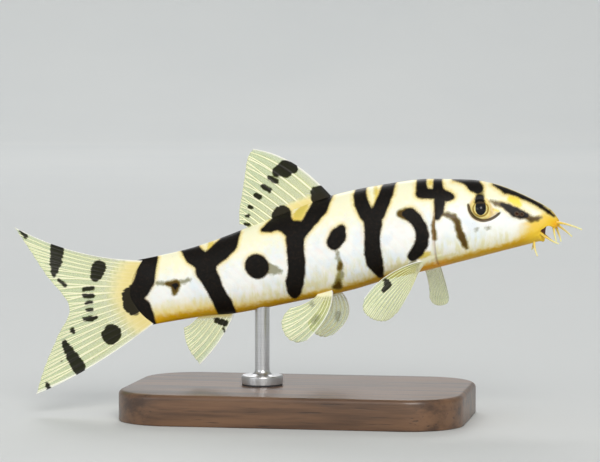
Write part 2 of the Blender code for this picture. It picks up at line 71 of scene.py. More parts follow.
# Snout and mouth
NOSE_LENGTH = 1.3
NOSE_ROUND_IN_PLAN = 2.6
NOSE_HEIGHT = 0.15
MOUTH_STATION = 2.0
MOUTH_OPENING = 0.72
MOUTH_CRESCENT = 0.17
CRESCENT_FADE = (2.5, 7)
MOUTH_DEPTH = 1.6
MOUTH_SIDE = 2.2
UPPER_LIP = (0.8, 0.3, 0.1)
LOWER_LIP = (3.0, 0.42, 0.25)
MOUTH_END = 4.6
MOUTH_LEVEL = (0.1, 0.6)
LIP_FURROW = 0.3
LIP_FURROW_DEPTH = 0.035

# Gill cover: stations between which the skin bends with its edge, the edge's tilt and bulge, its flare
GILL_EDGE = (12.0, 19.7, 19.7, 27.0)
GILL_TILT = 0.18
GILL_TILT_LEVEL = 2.0
GILL_BULGE = 0.6
GILL_BULGE_LEVEL = 3.5
GILL_BULGE_REACH = 7.5
GILL_FLARE = 0.06
FLARE_STATIONS = (13.0, 18.7, 18.95, 19.2)
# Groove behind the gill cover: station, width and depth, and the degrees from the back where it sets in
# and ends
GILL_SLIT = (19.2, 0.2, 0.16)
GILL_SLIT_ANGLES = (52, 75, 150, 168)

# Hind end of the body
BODY_END = 69.5
END_BOW = 3.0
END_BOW_START = 61.0
END_THINNING = 0.6
THINNING_START = 64.0
END_ROUNDING = 1.6

# Rows of the skin's faces, close together where the form is fine: (share of the rows, station)
SKIN_ROWS = (
    (0, 0), (0.006, 0.01), (0.014, 0.05), (0.03, 0.2), (0.055, 0.5), (0.1, 1.0), (0.2, 3.3),
    (0.285, 8.6), (0.44, 14.4), (0.51, 18.8), (0.565, 20.6), (0.915, 68), (1, BODY_END),
)
SKIN_ROW_COUNT = 400
# Columns of the skin's faces round one side: (share of the columns, degrees from the back)
SKIN_COLUMNS = ((0, 0), (0.22, 40), (0.5, 80), (1, 180))
SKIN_COLUMN_COUNT = 240

# Eyes and nostrils
EYE_STATION = 11.8
EYE_ANGLE = math.radians(65)
EYE_RADIUS = 1.65
EYE_DEPTH = 0.9
EYE_PUPIL = 0.86
# How many times taller than wide the pupil is, above and below its middle
EYE_PUPIL_TALL = (2.2, 1.25)
EYE_IRIS = 1.2
# Height and radius of the cornea's bulge
EYE_CORNEA = (0.12, 0.9)
FOLD_RADIUS = 1.25
FOLD_WIDTH = 0.2
FOLD_HEIGHT = 0.38
# Level seat round the eye: the radius where it gives way, the radius where it ends, and its height
FOLD_SEAT = (1.75, 2.9, -0.08)
PIT_RADII = (0.95, 1.2)
PIT_DEPTH = 1.6
FAR = 9.0
NOSTRIL_STATION = 6.3
NOSTRIL_ANGLE = math.radians(70)
# Openings of one nostril: (millimetres behind its station, radius, height of the rim, depth)
NOSTRILS = ((0.0, 0.18, 0.03, 0.3), (-0.75, 0.14, 0.06, 0.3))
# How far outside an opening the crest of its rim lies, and the rim's width
NOSTRIL_RIM = (0.1, 0.12)

# Crease below the eye: (bearing from the eye, 0 ahead and 90 degrees above, distance from its axis)
CREASE_LINE = (
    (150, 2.1), (164, 1.88), (185, 1.72), (206, 1.62), (247, 1.66), (265, 1.78), (283, 1.93), (300, 2.12),
    (317, 2.4), (340, 3.0), (350, 3.4),
)
CREASE_ENDS = (138, 158, 336, 350)
# Share of the way from the eye's axis to the crease where the lid's colour starts to fade
LID_FADE = 0.8

# Lateral line: (station, height)
LATERAL_LINE = ((20, 4.0), (33, 3.9), (50, 2.4), (64, 0.8), (70, 0.3))
# Muscle lines: pitch, bend away from the lateral line as a factor and a power, the stations where they
# set in and end, and the same as shares of the height
MUSCLE_PITCH = 1.75
MUSCLE_BEND = (0.8, 0.9)
TRUNK = (21, 27, 66, 69)
MUSCLE_LEVELS = (0.02, 0.15, 0.75, 0.95)
# Width and depth of the grooves
CREASE_FORM = (0.24, 0.2)
LATERAL_FORM = (0.13, 0.035)
MUSCLE_FORM = (0.1, 0.035)

# Fins
FIN_SHEET = 1.6
FIN_MEMBRANE = 0.12
FIN_RAY = 0.34
FIN_RAY_TIP = 0.15
FIN_LEAD_RAY = 0.52
FIN_MARGIN = 0.08
FIN_NOTCH = 0.006
# Share by which a paired fin's corner rays are shorter, and how far across the fin that reaches
FIN_CORNER = (0.06, 0.07)
FIN_WAVE = 0.14
FIN_JOINT_PITCH = 0.42
# Widths, in gaps between rays, of the thick first ray and of the tail fin's thick last one
FIN_EDGE_RAYS = (0.35, 0.3)
# Forks: the rays from the front where they set in, how far each fork spreads and the width of a ray
# before and after the first, in gaps between rays
FORK_FROM = (1.2, 2.4)
FORK_SPREADS = (0.24, 0.11)
RAY_WIDTHS = (0.12, 0.06)
ROOT_SINK = 0.7
COLUMNS_PER_RAY = 20

# Barbels
BARBEL_RADIUS = 0.19
BARBEL_TIP_SHARE = 0.62
BARBEL_SINK = 0.5
BARBEL_FOOT = 1.35

# Stand
BASE_SIZE = (56.0, 34.0, 5.0)
BASE_CORNER = 9.0
BASE_EDGE = 0.8
BASE_UNDER_EDGE = 0.25
GAP = 0.3
ROD_STATION = 50.0
ROD_RADIUS = 1.2
ROD_IN_BODY = 0.6
ROD_FILLET = 0.9
FOOT_RADIUS = 3.4
FOOT_HEIGHT = 1.4
FOOT_CHAMFER = 0.3
WASHER_RADIUS = 3.3
ARC_STEPS = 10
SHARP_ANGLE = math.radians(35)

# Dark marks of the skin, each a stroke along the fish: (station, height, half width)
BLACK_MARKS = {
    "from eye to snout": (
        (8.4, 4.75, 0.3), (7.5, 4.1, 0.5), (6.5, 3.2, 0.7), (5.7, 2.7, 0.62), (4.9, 2.4, 0.4),
    ),
    "brow": ((11.8, 5.8, 0.78), (11.75, 6.3, 0.68)),
    "crown": ((15.6, 10.1, 0.25), (13.7, 9.5, 0.5), (12.4, 8.5, 0.9), (11.8, 7.9, 0.8)),
    "nape front": ((18.1, 10.7, 0.65), (18.1, 9.2, 0.7), (17.9, 8.3, 0.75)),
    "nape hind": ((20.7, 10.8, 0.75), (20.7, 9.5, 0.8), (20.4, 8.6, 0.75)),
    "nape bar": ((21.0, 8.7, 0.7), (19.5, 8.4, 0.7), (17.7, 8.0, 0.8), (16.7, 7.5, 0.7), (16.1, 7.3, 0.45)),
    "nape stem": ((17.9, 7.9, 0.8), (18.1, 6.7, 0.8), (18.3, 5.6, 0.7), (18.7, 4.6, 0.5)),
    "shoulder hook": (
        (23.7, 5.9, 0.6), (23.0, 5.7, 0.98), (22.2, 4.8, 0.92), (21.6, 3.4, 0.92), (21.5, 2.1, 0.98),
        (21.9, 0.8, 0.98), (22.8, -0.3, 0.92), (23.7, -1.0, 0.8),
    ),
    "first bar, hind arm": ((30.6, 11.2, 0.85), (30.8, 10.0, 0.98), (30.6, 8.7, 1.1), (30.0, 6.9, 1.15)),
    "first bar, front arm": ((25.9, 11.3, 1.05), (26.4, 9.7, 1.05), (27.1, 8.4, 1.05), (28.1, 6.7, 1.15)),
    "first bar, stem": (
        (29.05, 6.0, 1.45), (29.1, 5.1, 1.38), (29.4, 3.8, 1.2), (29.7, 2.2, 1.2), (29.9, 0.6, 1.3),
        (29.9, -0.9, 1.3), (29.7, -2.1, 0.9), (29.6, -3.2, 0.5),
    ),
    "first spot": ((34.4, 5.2, 0.7), (35.1, 4.2, 1.3), (35.9, 3.3, 1.2)),
    "second bar, front arm": (
        (36.9, 10.9, 1.5), (37.7, 9.2, 1.4), (38.9, 7.9, 1.2), (40.1, 6.7, 1.0), (41.2, 5.8, 1.1),
    ),
    "second bar, hind arm": ((44.2, 8.9, 1.6), (44.8, 8.0, 1.25), (46.2, 7.4, 0.8), (47.5, 7.1, 0.3)),
    "second bar, join": ((43.9, 7.8, 1.5), (43.2, 6.9, 1.2), (42.2, 5.7, 1.2)),
    "second bar, stem": (
        (41.9, 6.2, 1.5), (42.3, 4.7, 1.45), (42.5, 2.9, 1.35), (42.6, 1.3, 1.4), (42.9, -0.4, 1.35),
        (43.6, -2.1, 1.4), (44.0, -3.4, 1.1), (44.2, -4.1, 0.6),
    ),
    "second spot": ((49.2, 1.4, 1.9), (49.35, 1.6, 1.9)),
    "third bar, front arm": ((52.8, 7.6, 1.5), (53.5, 5.9, 1.5), (54.9, 4.9, 1.5), (56.5, 4.0, 1.45)),
    "third bar, hind arm": ((60.2, 6.4, 1.4), (59.5, 5.0, 1.45), (58.1, 3.6, 1.45)),
    "third bar, stem": (
        (57.6, 3.4, 1.65), (57.8, 2.1, 1.65), (57.2, 0.4, 1.45), (56.6, -1.8, 1.3), (56.0, -3.6, 1.45),
        (55.8, -5.0, 1.5),
    ),
    "third spot": ((64.0, 0.8, 0.15), (63.2, 0.6, 0.4), (63.5, -0.2, 0.15)),
    "tail bar, top": ((67.2, 5.6, 1.7), (67.7, 3.7, 1.5), (68.2, 2.3, 1.6), (69.1, 1.1, 1.55)),
    "tail bar, lobe": ((69.4, 0.8, 1.45), (70.7, -0.1, 1.65), (71.2, -1.5, 1.2), (71.0, -2.0, 1.05)),
    "tail bar, foot": ((70.1, -1.1, 1.15), (69.2, -2.0, 1.15), (68.8, -3.4, 1.0), (68.5, -5.2, 0.8)),
}
SNOUT_STRIPE = (
    (9.3, 8.15, 0.2), (8.6, 7.65, 0.24), (7.6, 6.85, 0.4), (6.4, 6.25, 0.3), (5.0, 5.35, 0.28),
    (3.4, 4.25, 0.25), (2.5, 3.45, 0.24), (1.4, 2.3, 0.2), (0.7, 1.55, 0.12),
)
# Half width of the pale line along the top of the snout, between the stripes of the two sides
SNOUT_MIDLINE = 0.4
PALE_MARKS = (((22.7, -2.3, 0.26), (21.2, -1.75, 0.2), (19.2, -1.5, 0.05)),)
BROWN_MARKS = {
    "before the eye": ((10.0, 5.6, 0.2), (9.3, 5.1, 0.32), (8.4, 4.7, 0.42)),
    "end of the hook": ((24.4, 6.05, 0.7), (23.6, 5.85, 0.95)),
    "above the lip": ((5.0, 2.3, 0.38), (4.2, 1.7, 0.48), (3.3, 1.6, 0.33), (2.6, 1.7, 0.14)),
    "behind the gill": ((19.2, 4.5, 0.2), (19.6, 3.3, 0.22), (19.6, 2.3, 0.36), (19.7, 1.3, 0.36)),
    "cheek branch": (
        (18.0, 4.9, 0.3), (17.0, 4.6, 0.42), (16.1, 4.1, 0.48), (15.7, 3.2, 0.42), (15.7, 2.1, 0.48),
        (15.4, 0.8, 0.62), (15.2, -0.4, 0.45), (15.0, -1.1, 0.2),
    ),
    "third spot": ((64.7, 1.15, 0.35), (63.2, 0.7, 0.8), (63.6, -0.6, 0.45)),
    "below the first spot": ((35.5, -0.3, 0.4), (35.7, -0.9, 0.45)),
    "low on the flank": ((36.3, -2.9, 0.3), (36.7, -3.8, 0.6), (37.3, -3.9, 0.45)),
}
# Smoky marks, and the shadow of the pectoral fin painted on the skin
SMOKE_AND_SHADOW_MARKS = {
    "before the second spot": ((47.5, 0.9, 0.8), (46.4, 0.4, 0.5), (45.5, 0.1, 0.16)),
    "thread below the first spot": (
        (35.7, 1.9, 0.12), (35.6, 0.3, 0.14), (35.7, -1.9, 0.3), (36.6, -3.2, 0.3),
    ),
    "behind the third spot": ((66.2, 1.4, 0.1), (65.0, 1.2, 0.2)),
    "before the third spot": ((62.5, 1.0, 0.2), (60.8, 1.15, 0.12)),
    "above the brow": ((11.6, 6.7, 0.45), (11.5, 7.2, 0.3)),
    "cheek dot": ((11.1, 1.5, 0.16), (11.2, 1.5, 0.16)),
    "shadow of the pectoral": ((24.9, -2.6, 0.1), (23.9, -2.3, 0.16), (23.2, -2.1, 0.08)),
    "small cheek dot": ((12.9, 1.6, 0.12), (13.0, 1.6, 0.12)),
}
YELLOW_MARKS = {
    "before the eye": ((7.0, 5.4, 0.4), (6.2, 4.9, 0.65), (5.8, 4.3, 0.4)),
    "nape": ((19.3, 10.4, 0.3), (19.3, 9.9, 0.2)),
    "first bar": ((28.2, 11.0, 0.2), (28.0, 9.1, 0.2), (28.5, 8.0, 0.1)),
    "second bar": ((40.2, 9.5, 0.6), (41.1, 8.5, 0.9), (41.9, 7.7, 0.6)),
    "third bar": ((56.5, 6.8, 0.5), (56.5, 5.4, 0.4)),
    "below the first spot": ((35.9, -1.4, 0.12), (36.4, -2.8, 0.2)),
    "pectoral root": ((22.7, -1.3, 0.35), (21.5, -1.05, 0.45), (20.9, -0.9, 0.2)),
    "front corner of the eye": ((9.8, 4.15, 0.12), (9.1, 3.85, 0.1)),
}

# Guide rays of the middle fins: root station, middle (station, height), tip (station, height, side)
DORSAL_RAYS = (
    (35.5, (40.8, 16.7), (47.1, 20.3, -0.2)),
    (38.9, (44.1, 15.3), (48.2, 19.0, -0.3)),
    (42.2, (46.2, 13.2), (49.2, 16.0, -0.4)),
    (45.0, (48.0, 11.2), (50.2, 13.1, -0.4)),
    (47.5, (49.5, 9.8), (51.0, 10.9, -0.3)),
    (49.6, (50.6, 8.3), (51.4, 8.6, 0.0)),
)
ANAL_RAYS = (
    (54.4, (57.6, -9.3), (61.8, -12.9, -0.3)),
    (56.4, (59.6, -8.2), (62.9, -10.6, -0.4)),
    (58.3, (61.0, -7.1), (63.4, -8.4, -0.4)),
    (59.9, (61.8, -5.95), (63.3, -6.5, -0.2)),
)
TAIL_RAYS = (
    ((68.1, 5.45), (78.5, 8.7), (87.8, 14.4, -0.5)),
    ((69.6, 3.6), (77.8, 6.4), (86.0, 10.4, -0.7)),
    ((70.4, 2.1), (77.2, 3.9), (84.0, 5.8, -0.8)),
    ((71.0, 0.2), (76.2, 0.1), (81.2, 0.0, -0.6)),
    ((70.4, -1.7), (77.4, -3.2), (84.0, -4.5, -0.8)),
    ((69.6, -3.3), (78.6, -6.3), (86.9, -9.0, -0.7)),
    ((68.1, -5.05), (79.3, -10.2), (89.0, -13.1, -0.5)),
)

# Guide rays of the paired fins: root station and angle, middle and tip (station, side, height)
PECTORAL_RIGHT_RAYS = (
    (21.0, 137, (27.8, -6.2, -3.15), (32.8, -7.6, -7.0)),
    (21.8, 144, (27.4, -6.2, -4.5), (32.4, -8.0, -8.5)),
    (22.3, 148, (26.7, -5.8, -5.4), (31.2, -7.6, -9.8)),
    (22.8, 152, (25.9, -5.0, -6.1), (29.6, -6.6, -10.4)),
    (23.2, 156, (25.1, -4.1, -6.3), (28.0, -5.3, -9.9)),
)
PECTORAL_LEFT_RAYS = (
    (20.7, 141, (20.8, 6.9, -6.4), (20.9, 9.3, -9.6)),
    (21.3, 144, (21.5, 6.6, -6.9), (21.4, 9.0, -10.2)),
    (22.0, 148, (22.0, 6.0, -7.0), (22.4, 8.3, -10.3)),
    (22.6, 152, (22.6, 5.2, -6.7), (23.2, 7.2, -9.9)),
    (23.1, 156, (23.1, 4.3, -6.1), (23.7, 6.0, -9.0)),
)
PELVIC_RIGHT_RAYS = (
    (37.9, 153, (39.3, -3.4, -8.1), (43.9, -4.6, -12.1)),
    (38.5, 155, (41.2, -3.8, -8.1), (46.0, -5.2, -10.8)),
    (39.1, 158, (42.2, -3.6, -6.9), (46.8, -4.9, -8.3)),
    (39.8, 161, (42.1, -2.9, -5.6), (45.6, -3.8, -6.0)),
)
PELVIC_LEFT_RAYS = (
    (37.9, 153, (36.7, 4.0, -8.7), (40.9, 5.2, -12.4)),
    (38.5, 155, (38.5, 3.9, -8.8), (42.4, 5.0, -11.8)),
    (39.1, 158, (40.0, 3.4, -8.1), (43.5, 4.4, -10.6)),
    (39.8, 161, (41.0, 2.7, -7.1), (43.8, 3.5, -9.0)),
)

# Rays of each fin, rows of faces out along them, the share of a ray's length where it forks,
# and its fleshy foot: thickness at the root, the distances from the root where it thins out and ends,
# and the share of the fin's width that it takes, from the front
FIN_FORMS = {
    "dorsal_fin": (12, 52, 0.42, (1.5, 0.9, 3.6, 0.6)),
    "anal_fin": (8, 40, 0.4, (1.2, 0.8, 2.2, 1.5)),
    "tail_fin": (19, 72, 0.3, (1.1, 0.0, 7.5, 1.5)),
    "pectoral_fin": (13, 44, 0.45, (0.8, 0.9, 2.8, 1.5)),
    "pelvic_fin": (8, 40, 0.4, (0.9, 0.9, 2.6, 1.5)),
}

# Spots of the fins: strokes of (station, height, half width)
FIN_MARKS = {
    "dorsal_fin": (
        ((43.8, 16.0, 0.9), (42.5, 16.2, 1.4), (41.4, 16.3, 1.1)),
        ((45.3, 15.2, 0.42), (44.3, 14.5, 0.48)),
        ((46.6, 14.1, 0.38), (45.6, 13.3, 0.48)),
        ((47.9, 12.8, 0.48), (47.4, 12.4, 0.48)),
        ((49.3, 11.1, 0.36), (49.0, 11.0, 0.36)),
        ((50.0, 9.8, 0.32), (49.7, 9.7, 0.32)),
        ((50.4, 8.4, 0.32), (49.9, 8.3, 0.32)),
        ((38.2, 11.7, 0.85), (37.2, 11.6, 1.0), (36.3, 10.6, 1.1), (38.1, 10.5, 1.0)),
        ((44.2, 8.9, 1.6), (44.3, 8.8, 1.6)),
    ),
    "tail_fin": (
        ((81.5, 9.9, 1.15), (82.1, 7.6, 1.0), (82.6, 6.2, 0.62), (82.8, 5.4, 0.34)),
        ((82.1, 4.7, 0.28), (81.3, 3.6, 0.36)),
        ((87.0, 13.6, 0.2), (86.2, 12.5, 0.36)),
        ((75.4, 5.5, 1.25), (76.1, 4.2, 0.95)),
        ((78.3, 2.4, 0.38), (76.9, 2.5, 0.4)),
        ((78.5, 1.4, 0.42), (77.2, 1.2, 0.46)),
        ((78.4, 0.2, 0.34), (77.5, 0.1, 0.34)),
        ((78.5, -1.0, 0.32), (77.7, -1.1, 0.36)),
        ((79.1, -2.4, 0.4), (78.1, -2.5, 0.46), (77.2, -2.4, 0.3)),
        ((75.1, -5.5, 1.55), (75.3, -5.7, 1.6)),
        ((81.4, -3.9, 0.45), (81.3, -4.0, 0.45)),
        ((83.0, -5.5, 0.5), (82.6, -6.9, 0.76), (82.1, -8.3, 1.0), (81.4, -9.9, 1.1), (81.3, -10.8, 0.85)),
        ((87.0, -11.6, 0.26), (86.8, -12.8, 0.5)),
        ((83.9, -8.5, 0.12), (84.0, -8.5, 0.12)),
        ((69.4, 0.8, 1.45), (70.7, -0.1, 1.7), (71.2, -1.5, 1.25), (70.8, -2.2, 1.0)),
    ),
    "anal_fin": (
        ((57.9, -6.2, 0.5), (56.5, -6.9, 0.56)),
        ((57.0, -7.7, 0.2), (56.6, -8.9, 0.22)),
    ),
    "pectoral_fin_right": (((28.3, -4.1, 0.45), (28.2, -4.8, 0.6), (28.9, -5.5, 0.35)),),
    "pelvic_fin_right": (((40.9, -8.2, 0.25), (41.5, -8.7, 0.3)), ((41.4, -6.2, 0.15), (41.6, -5.9, 0.15))),
    "pelvic_fin_left": (((38.4, -8.5, 0.3), (38.8, -9.5, 0.25)),),
}

# Barbels: side of the head, root station and angle, then middle and tip (station, side, height)
BARBELS = (
    ("rostral_outer_right", -1, (0.45, 72), (-1.55, -1.6, -0.25), (-3.5, -2.0, -1.35)),
    ("rostral_outer_left", 1, (0.45, 98), (-0.45, 1.6, -1.15), (-1.4, 1.9, -2.35)),
    ("rostral_inner_right", -1, (0.95, 145), (1.08, -0.85, -1.35), (0.95, -0.9, -2.6)),
    ("rostral_inner_left", 1, (0.65, 145), (0.55, 0.9, -1.6), (0.42, 0.9, -2.8)),
    ("maxillary_right", -1, (3.1, 130), (1.65, -2.3, -2.15), (0.45, -2.5, -2.9)),
    ("maxillary_left", 1, (3.1, 130), (2.1, 1.9, -2.26), (1.1, 1.6, -2.98)),
    ("mandibular_right", -1, (4.4, 160), (4.55, -1.0, -3.1), (4.3, -1.15, -4.4)),
    ("mandibular_left", 1, (4.4, 160), (5.0, 1.1, -2.85), (5.3, 1.3, -3.3)),
)

# Camera: degrees to the head's side and above the floor, distance, and the point looked at, in millimetres
CAMERA_TURN = math.radians(10)
CAMERA_RISE = math.radians(3.5)
CAMERA_DISTANCE = 450.0
CAMERA_TARGET = (0.16, 0.0, 30.2)
PICTURE_WIDTH = 600
PIXELS_PER_MM = 6.153

# Studio lights: name, watts, size in metres, place in metres, colour
LIGHTS = (
    ("key", 24.0, 0.9, (0.5, -1.55, 1.05), (1.0, 0.98, 0.94)),
    ("fill", 8.0, 1.2, (-1.3, -1.4, 0.4), (0.97, 0.98, 1.0)),
    ("rim", 13.0, 1.0, (-0.4, 1.5, 1.3), (1.0, 1.0, 1.0)),
)
LIGHT_TARGET = (0, 0, 0.03)
SKY_COLOUR = (0.95, 0.97, 1.0, 1)
SKY_STRENGTH = 0.42


# The form of the fish
def smooth(table, x):
    """Values of a smooth curve through the table's points, held level past its ends."""
    knots, values = np.array(table, float).T
    rise = np.diff(values) / np.diff(knots)
    slopes = np.concatenate(([rise[0]], (values[2:] - values[:-2]) / (knots[2:] - knots[:-2]), [rise[-1]]))
    x = np.clip(x, knots[0], knots[-1])
    i = np.clip(np.searchsorted(knots, x, side="right") - 1, 0, len(knots) - 2)
    span = knots[i + 1] - knots[i]
    t = (x - knots[i]) / span
    return (
        values[i] + (values[i + 1] - values[i]) * (3 - 2 * t) * t * t
        + span * t * (1 - t) * ((1 - t) * slopes[i] - t * slopes[i + 1])
    )


def ease(x, start, end):
    """0 before start, 1 after end, and a smooth rise between them."""
    t = np.clip((x - start) / (end - start), 0, 1)
    return t * t * (3 - 2 * t)


def between(x, start, full, ending, end):
    """1 from full to ending, 0 before start and after end, smooth on both slopes."""
    return ease(x, start, full) * (1 - ease(x, ending, end))


def hump(x, centre, width):
    """Bell curve, 1 at its centre."""
    return np.exp(-(((x - centre) / width) ** 2))


def place(points):
    """World points, in metres, of points (station, side, height) along the fish."""
    station, side, height = np.asarray(points, float).T
    turn = np.maximum(station - BEND_START, 0) / BEND_RADIUS
    along = np.minimum(station, BEND_START) + (BEND_RADIUS + side) * np.sin(turn)
    across = side * np.cos(turn) - BEND_RADIUS * (1 - np.cos(turn))
    x = SNOUT_X - along * math.cos(PITCH) - height * math.sin(PITCH)
    z = SNOUT_Z - along * math.sin(PITCH) + height * math.cos(PITCH)
    return np.stack((x, across, z), axis=-1) * MM


def nose_share(station, length):
    return np.sqrt(1 - (1 - np.clip(station / length, 0, 1)) ** 2)


def mouth_relief(station, side):
    """How far the underside of the snout is raised: the slit of the mouth between two rolled lips."""
    along = station - MOUTH_CRESCENT * side * side
    relief = MOUTH_DEPTH * np.exp(-(((along - MOUTH_STATION) / MOUTH_OPENING) ** 4))
    for centre, width, roll in (UPPER_LIP, LOWER_LIP):
        relief -= roll * hump(along, centre, width)
    return relief * (1 - ease(np.abs(side), 0.6 * MOUTH_SIDE, MOUTH_SIDE))


def section(station, angle):
    """Side and height of the skin; the angle is 0 on the back, 90 degrees on the left, 180 below."""
    widest = smooth(WIDEST_LEVEL, station)
    upright = np.cos(angle)
    above = (smooth(BACK_LINE, station) - widest) * np.maximum(upright, 0) ** BACK_POWER
    below = (widest - smooth(BELLY_LINE, station)) * np.maximum(-upright, 0) ** BELLY_POWER
    height = NOSE_HEIGHT + (widest + above - below - NOSE_HEIGHT) * nose_share(station, NOSE_LENGTH)
    side = smooth(HALF_WIDTH, station) * np.sin(angle) * nose_share(station, NOSE_ROUND_IN_PLAN)
    in_mouth = ease(-upright, *MOUTH_LEVEL) * (station < MOUTH_END)
    return side, height + mouth_relief(station, side) * in_mouth


def ring_shift(station, side, height):
    """How far a ring bends along the body: crescent at the mouth, gill edge, rounded end."""
    crescent = MOUTH_CRESCENT * side * side * (1 - ease(station, *CRESCENT_FADE))
    gill = between(station, *GILL_EDGE)
    gill_edge = GILL_BULGE * (1 - ((height - GILL_BULGE_LEVEL) / GILL_BULGE_REACH) ** 2)
    gill_edge -= GILL_TILT * (height - GILL_TILT_LEVEL)
    share_of_end = height / smooth(BACK_LINE, BODY_END)
    end = END_BOW * (1 - share_of_end ** 2) * ease(station, END_BOW_START, BODY_END)
    return crescent + gill * gill_edge + end


def skin_points(station, angle):
    """Points of the plain skin along the fish: (station, side, height)."""
    side, height = section(station, angle)
    bent = station + ring_shift(station, side, height)
    side, height = section(np.minimum(bent, BODY_END), angle)
    low_enough = ease(np.abs(angle), *np.radians(GILL_SLIT_ANGLES[:2]))
    flare = GILL_FLARE * between(station, *FLARE_STATIONS) * low_enough
    thin = 1 - END_THINNING * ease(station, THINNING_START, BODY_END)
    to_end = np.clip((BODY_END - station) / END_ROUNDING, 0, 1)
    side = side * (1 + flare) * thin * np.sqrt(1 - (1 - to_end) ** 2)
    return np.stack((bent, side, height), axis=-1)


def outward_from(form, station, angle):
    """Outward directions of a form given by station and angle."""
    along = form(station + 0.02, angle) - form(np.maximum(station - 0.02, 0), angle)
    around = form(station, angle + 0.01) - form(station, angle - 0.01)
    outward = np.cross(along, around)
    return outward / np.maximum(np.linalg.norm(outward, axis=-1, keepdims=True), 1e-9)


def section_points(station, angle):
    side, height = section(station, angle)
    return np.stack((station + 0 * side, side, height), axis=-1)


def on_skin(station, angle, depth=0.0):
    """A point below the skin, and the outward direction there, both along the fish."""
    station, angle = np.array([station], float), np.array([angle], float)
    outward = outward_from(section_points, station, angle)[0]
    return section_points(station, angle)[0] - outward * depth, outward


def stroke_distance(strokes, station, height):
    """Distance in millimetres to the edge of the nearest stroke, less than 0 inside one."""
    blur = 0.1
    nearest = np.full(np.shape(station), FAR)
    for stroke in strokes:
        for (s0, h0, w0), (s1, h1, w1) in zip(stroke, stroke[1:]):
            run, rise = s1 - s0, h1 - h0
            share = np.clip(((station - s0) * run + (height - h0) * rise) / (run * run + rise * rise), 0, 1)
            away = np.hypot(station - s0 - run * share, height - h0 - rise * share)
            reach = away - w0 - (w1 - w0) * share
            nearest = -blur * np.logaddexp(-nearest / blur, -reach / blur)
    return nearest


# Making meshes
def added(name, data):
    """New object in the scene."""
    made = bpy.data.objects.new(name, data)
    bpy.context.scene.collection.objects.link(made)
    return made


def finished(name, mesh, finish, slot, *replaced):
    """Object from a bmesh: smooth, riding on the part's body, in place of the nodes that it replaces."""
    data = bpy.data.meshes.new(name)
    mesh.to_mesh(data)
    mesh.free()
    data.shade_smooth()
    made = added(name, data)
    made.data.materials.append(finish)
    if slot:
        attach(made, "root")
    if replaced:
        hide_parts(*replaced)
    return made


def warped_grid(columns, rows, form):
    """Grid of faces warped by form(across, out), which gives world points and named numbers for them."""
    mesh = bmesh.new()
    bmesh.ops.create_grid(mesh, x_segments=columns, y_segments=rows, size=1)
    across, out = (np.array([vert.co.xy for vert in mesh.verts]).T + 1) / 2
    points, named = form(across, out)
    for vert, point in zip(mesh.verts, points):
        vert.co = point
    for name, numbers in named.items():
        layer = mesh.verts.layers.float.new(name)
        for vert, number in zip(mesh.verts, numbers):
            vert[layer] = number
    return mesh


def closed_up(mesh):
    """Merges the seam and the poles of a wrapped grid and turns its faces outward."""
    bmesh.ops.remove_doubles(mesh, verts=mesh.verts, dist=1e-8)
    bmesh.ops.dissolve_degenerate(mesh, edges=mesh.edges, dist=1e-8)
    bmesh.ops.recalc_face_normals(mesh, faces=mesh.faces)
    return mesh


def quarter_turn(steps):
    """Sines and cosines at even steps of a quarter turn, with both its ends."""
    turns = [math.pi / 2 * i / steps for i in range(steps + 1)]
    return [(math.sin(turn), math.cos(turn)) for turn in turns]


def turned(profile, steps=72):
    """Bmesh of a profile of (radius, height), in millimetres, spun round the Z axis."""
    mesh = bmesh.new()
    points = [mesh.verts.new((radius * MM, 0, height * MM)) for radius, height in profile]
    edges = [mesh.edges.new(pair) for pair in zip(points, points[1:])]
    bmesh.ops.spin(
        mesh, geom=points + edges, cent=(0, 0, 0), axis=(0, 0, 1), dvec=(0, 0, 0), angle=2 * math.pi,
        steps=steps, use_merge=True, use_duplicate=False,
    )
    bmesh.ops.remove_doubles(mesh, verts=mesh.verts, dist=1e-7)
    bmesh.ops.recalc_face_normals(mesh, faces=mesh.faces)
    return mesh


# Making materials
class Socket:
    """An output of a finish's nodes. Python's operators on it add the Math nodes that work them out."""

    def __init__(self, finish, link):
        self.finish = finish
        self.link = link

    def math(self, operation, *others):
        return self.finish.node("Math", {"operation": operation}, dict(enumerate((self, *others))))

    def __add__(self, other):
        return self.math("ADD", other)

    __radd__ = __add__

    def __sub__(self, other):
        return self.math("SUBTRACT", other)

    def __rsub__(self, other):
        return self.finish.node("Math", {"operation": "SUBTRACT"}, {0: other, 1: self})

    def __mul__(self, other):
        return self.math("MULTIPLY", other)

    __rmul__ = __mul__

    def __truediv__(self, other):
        return self.math("DIVIDE", other)


def socket_name(name):
    """The Principled shader's name of a socket, from a keyword."""
    return name.replace("_", " ").title().replace("Ior", "IOR")


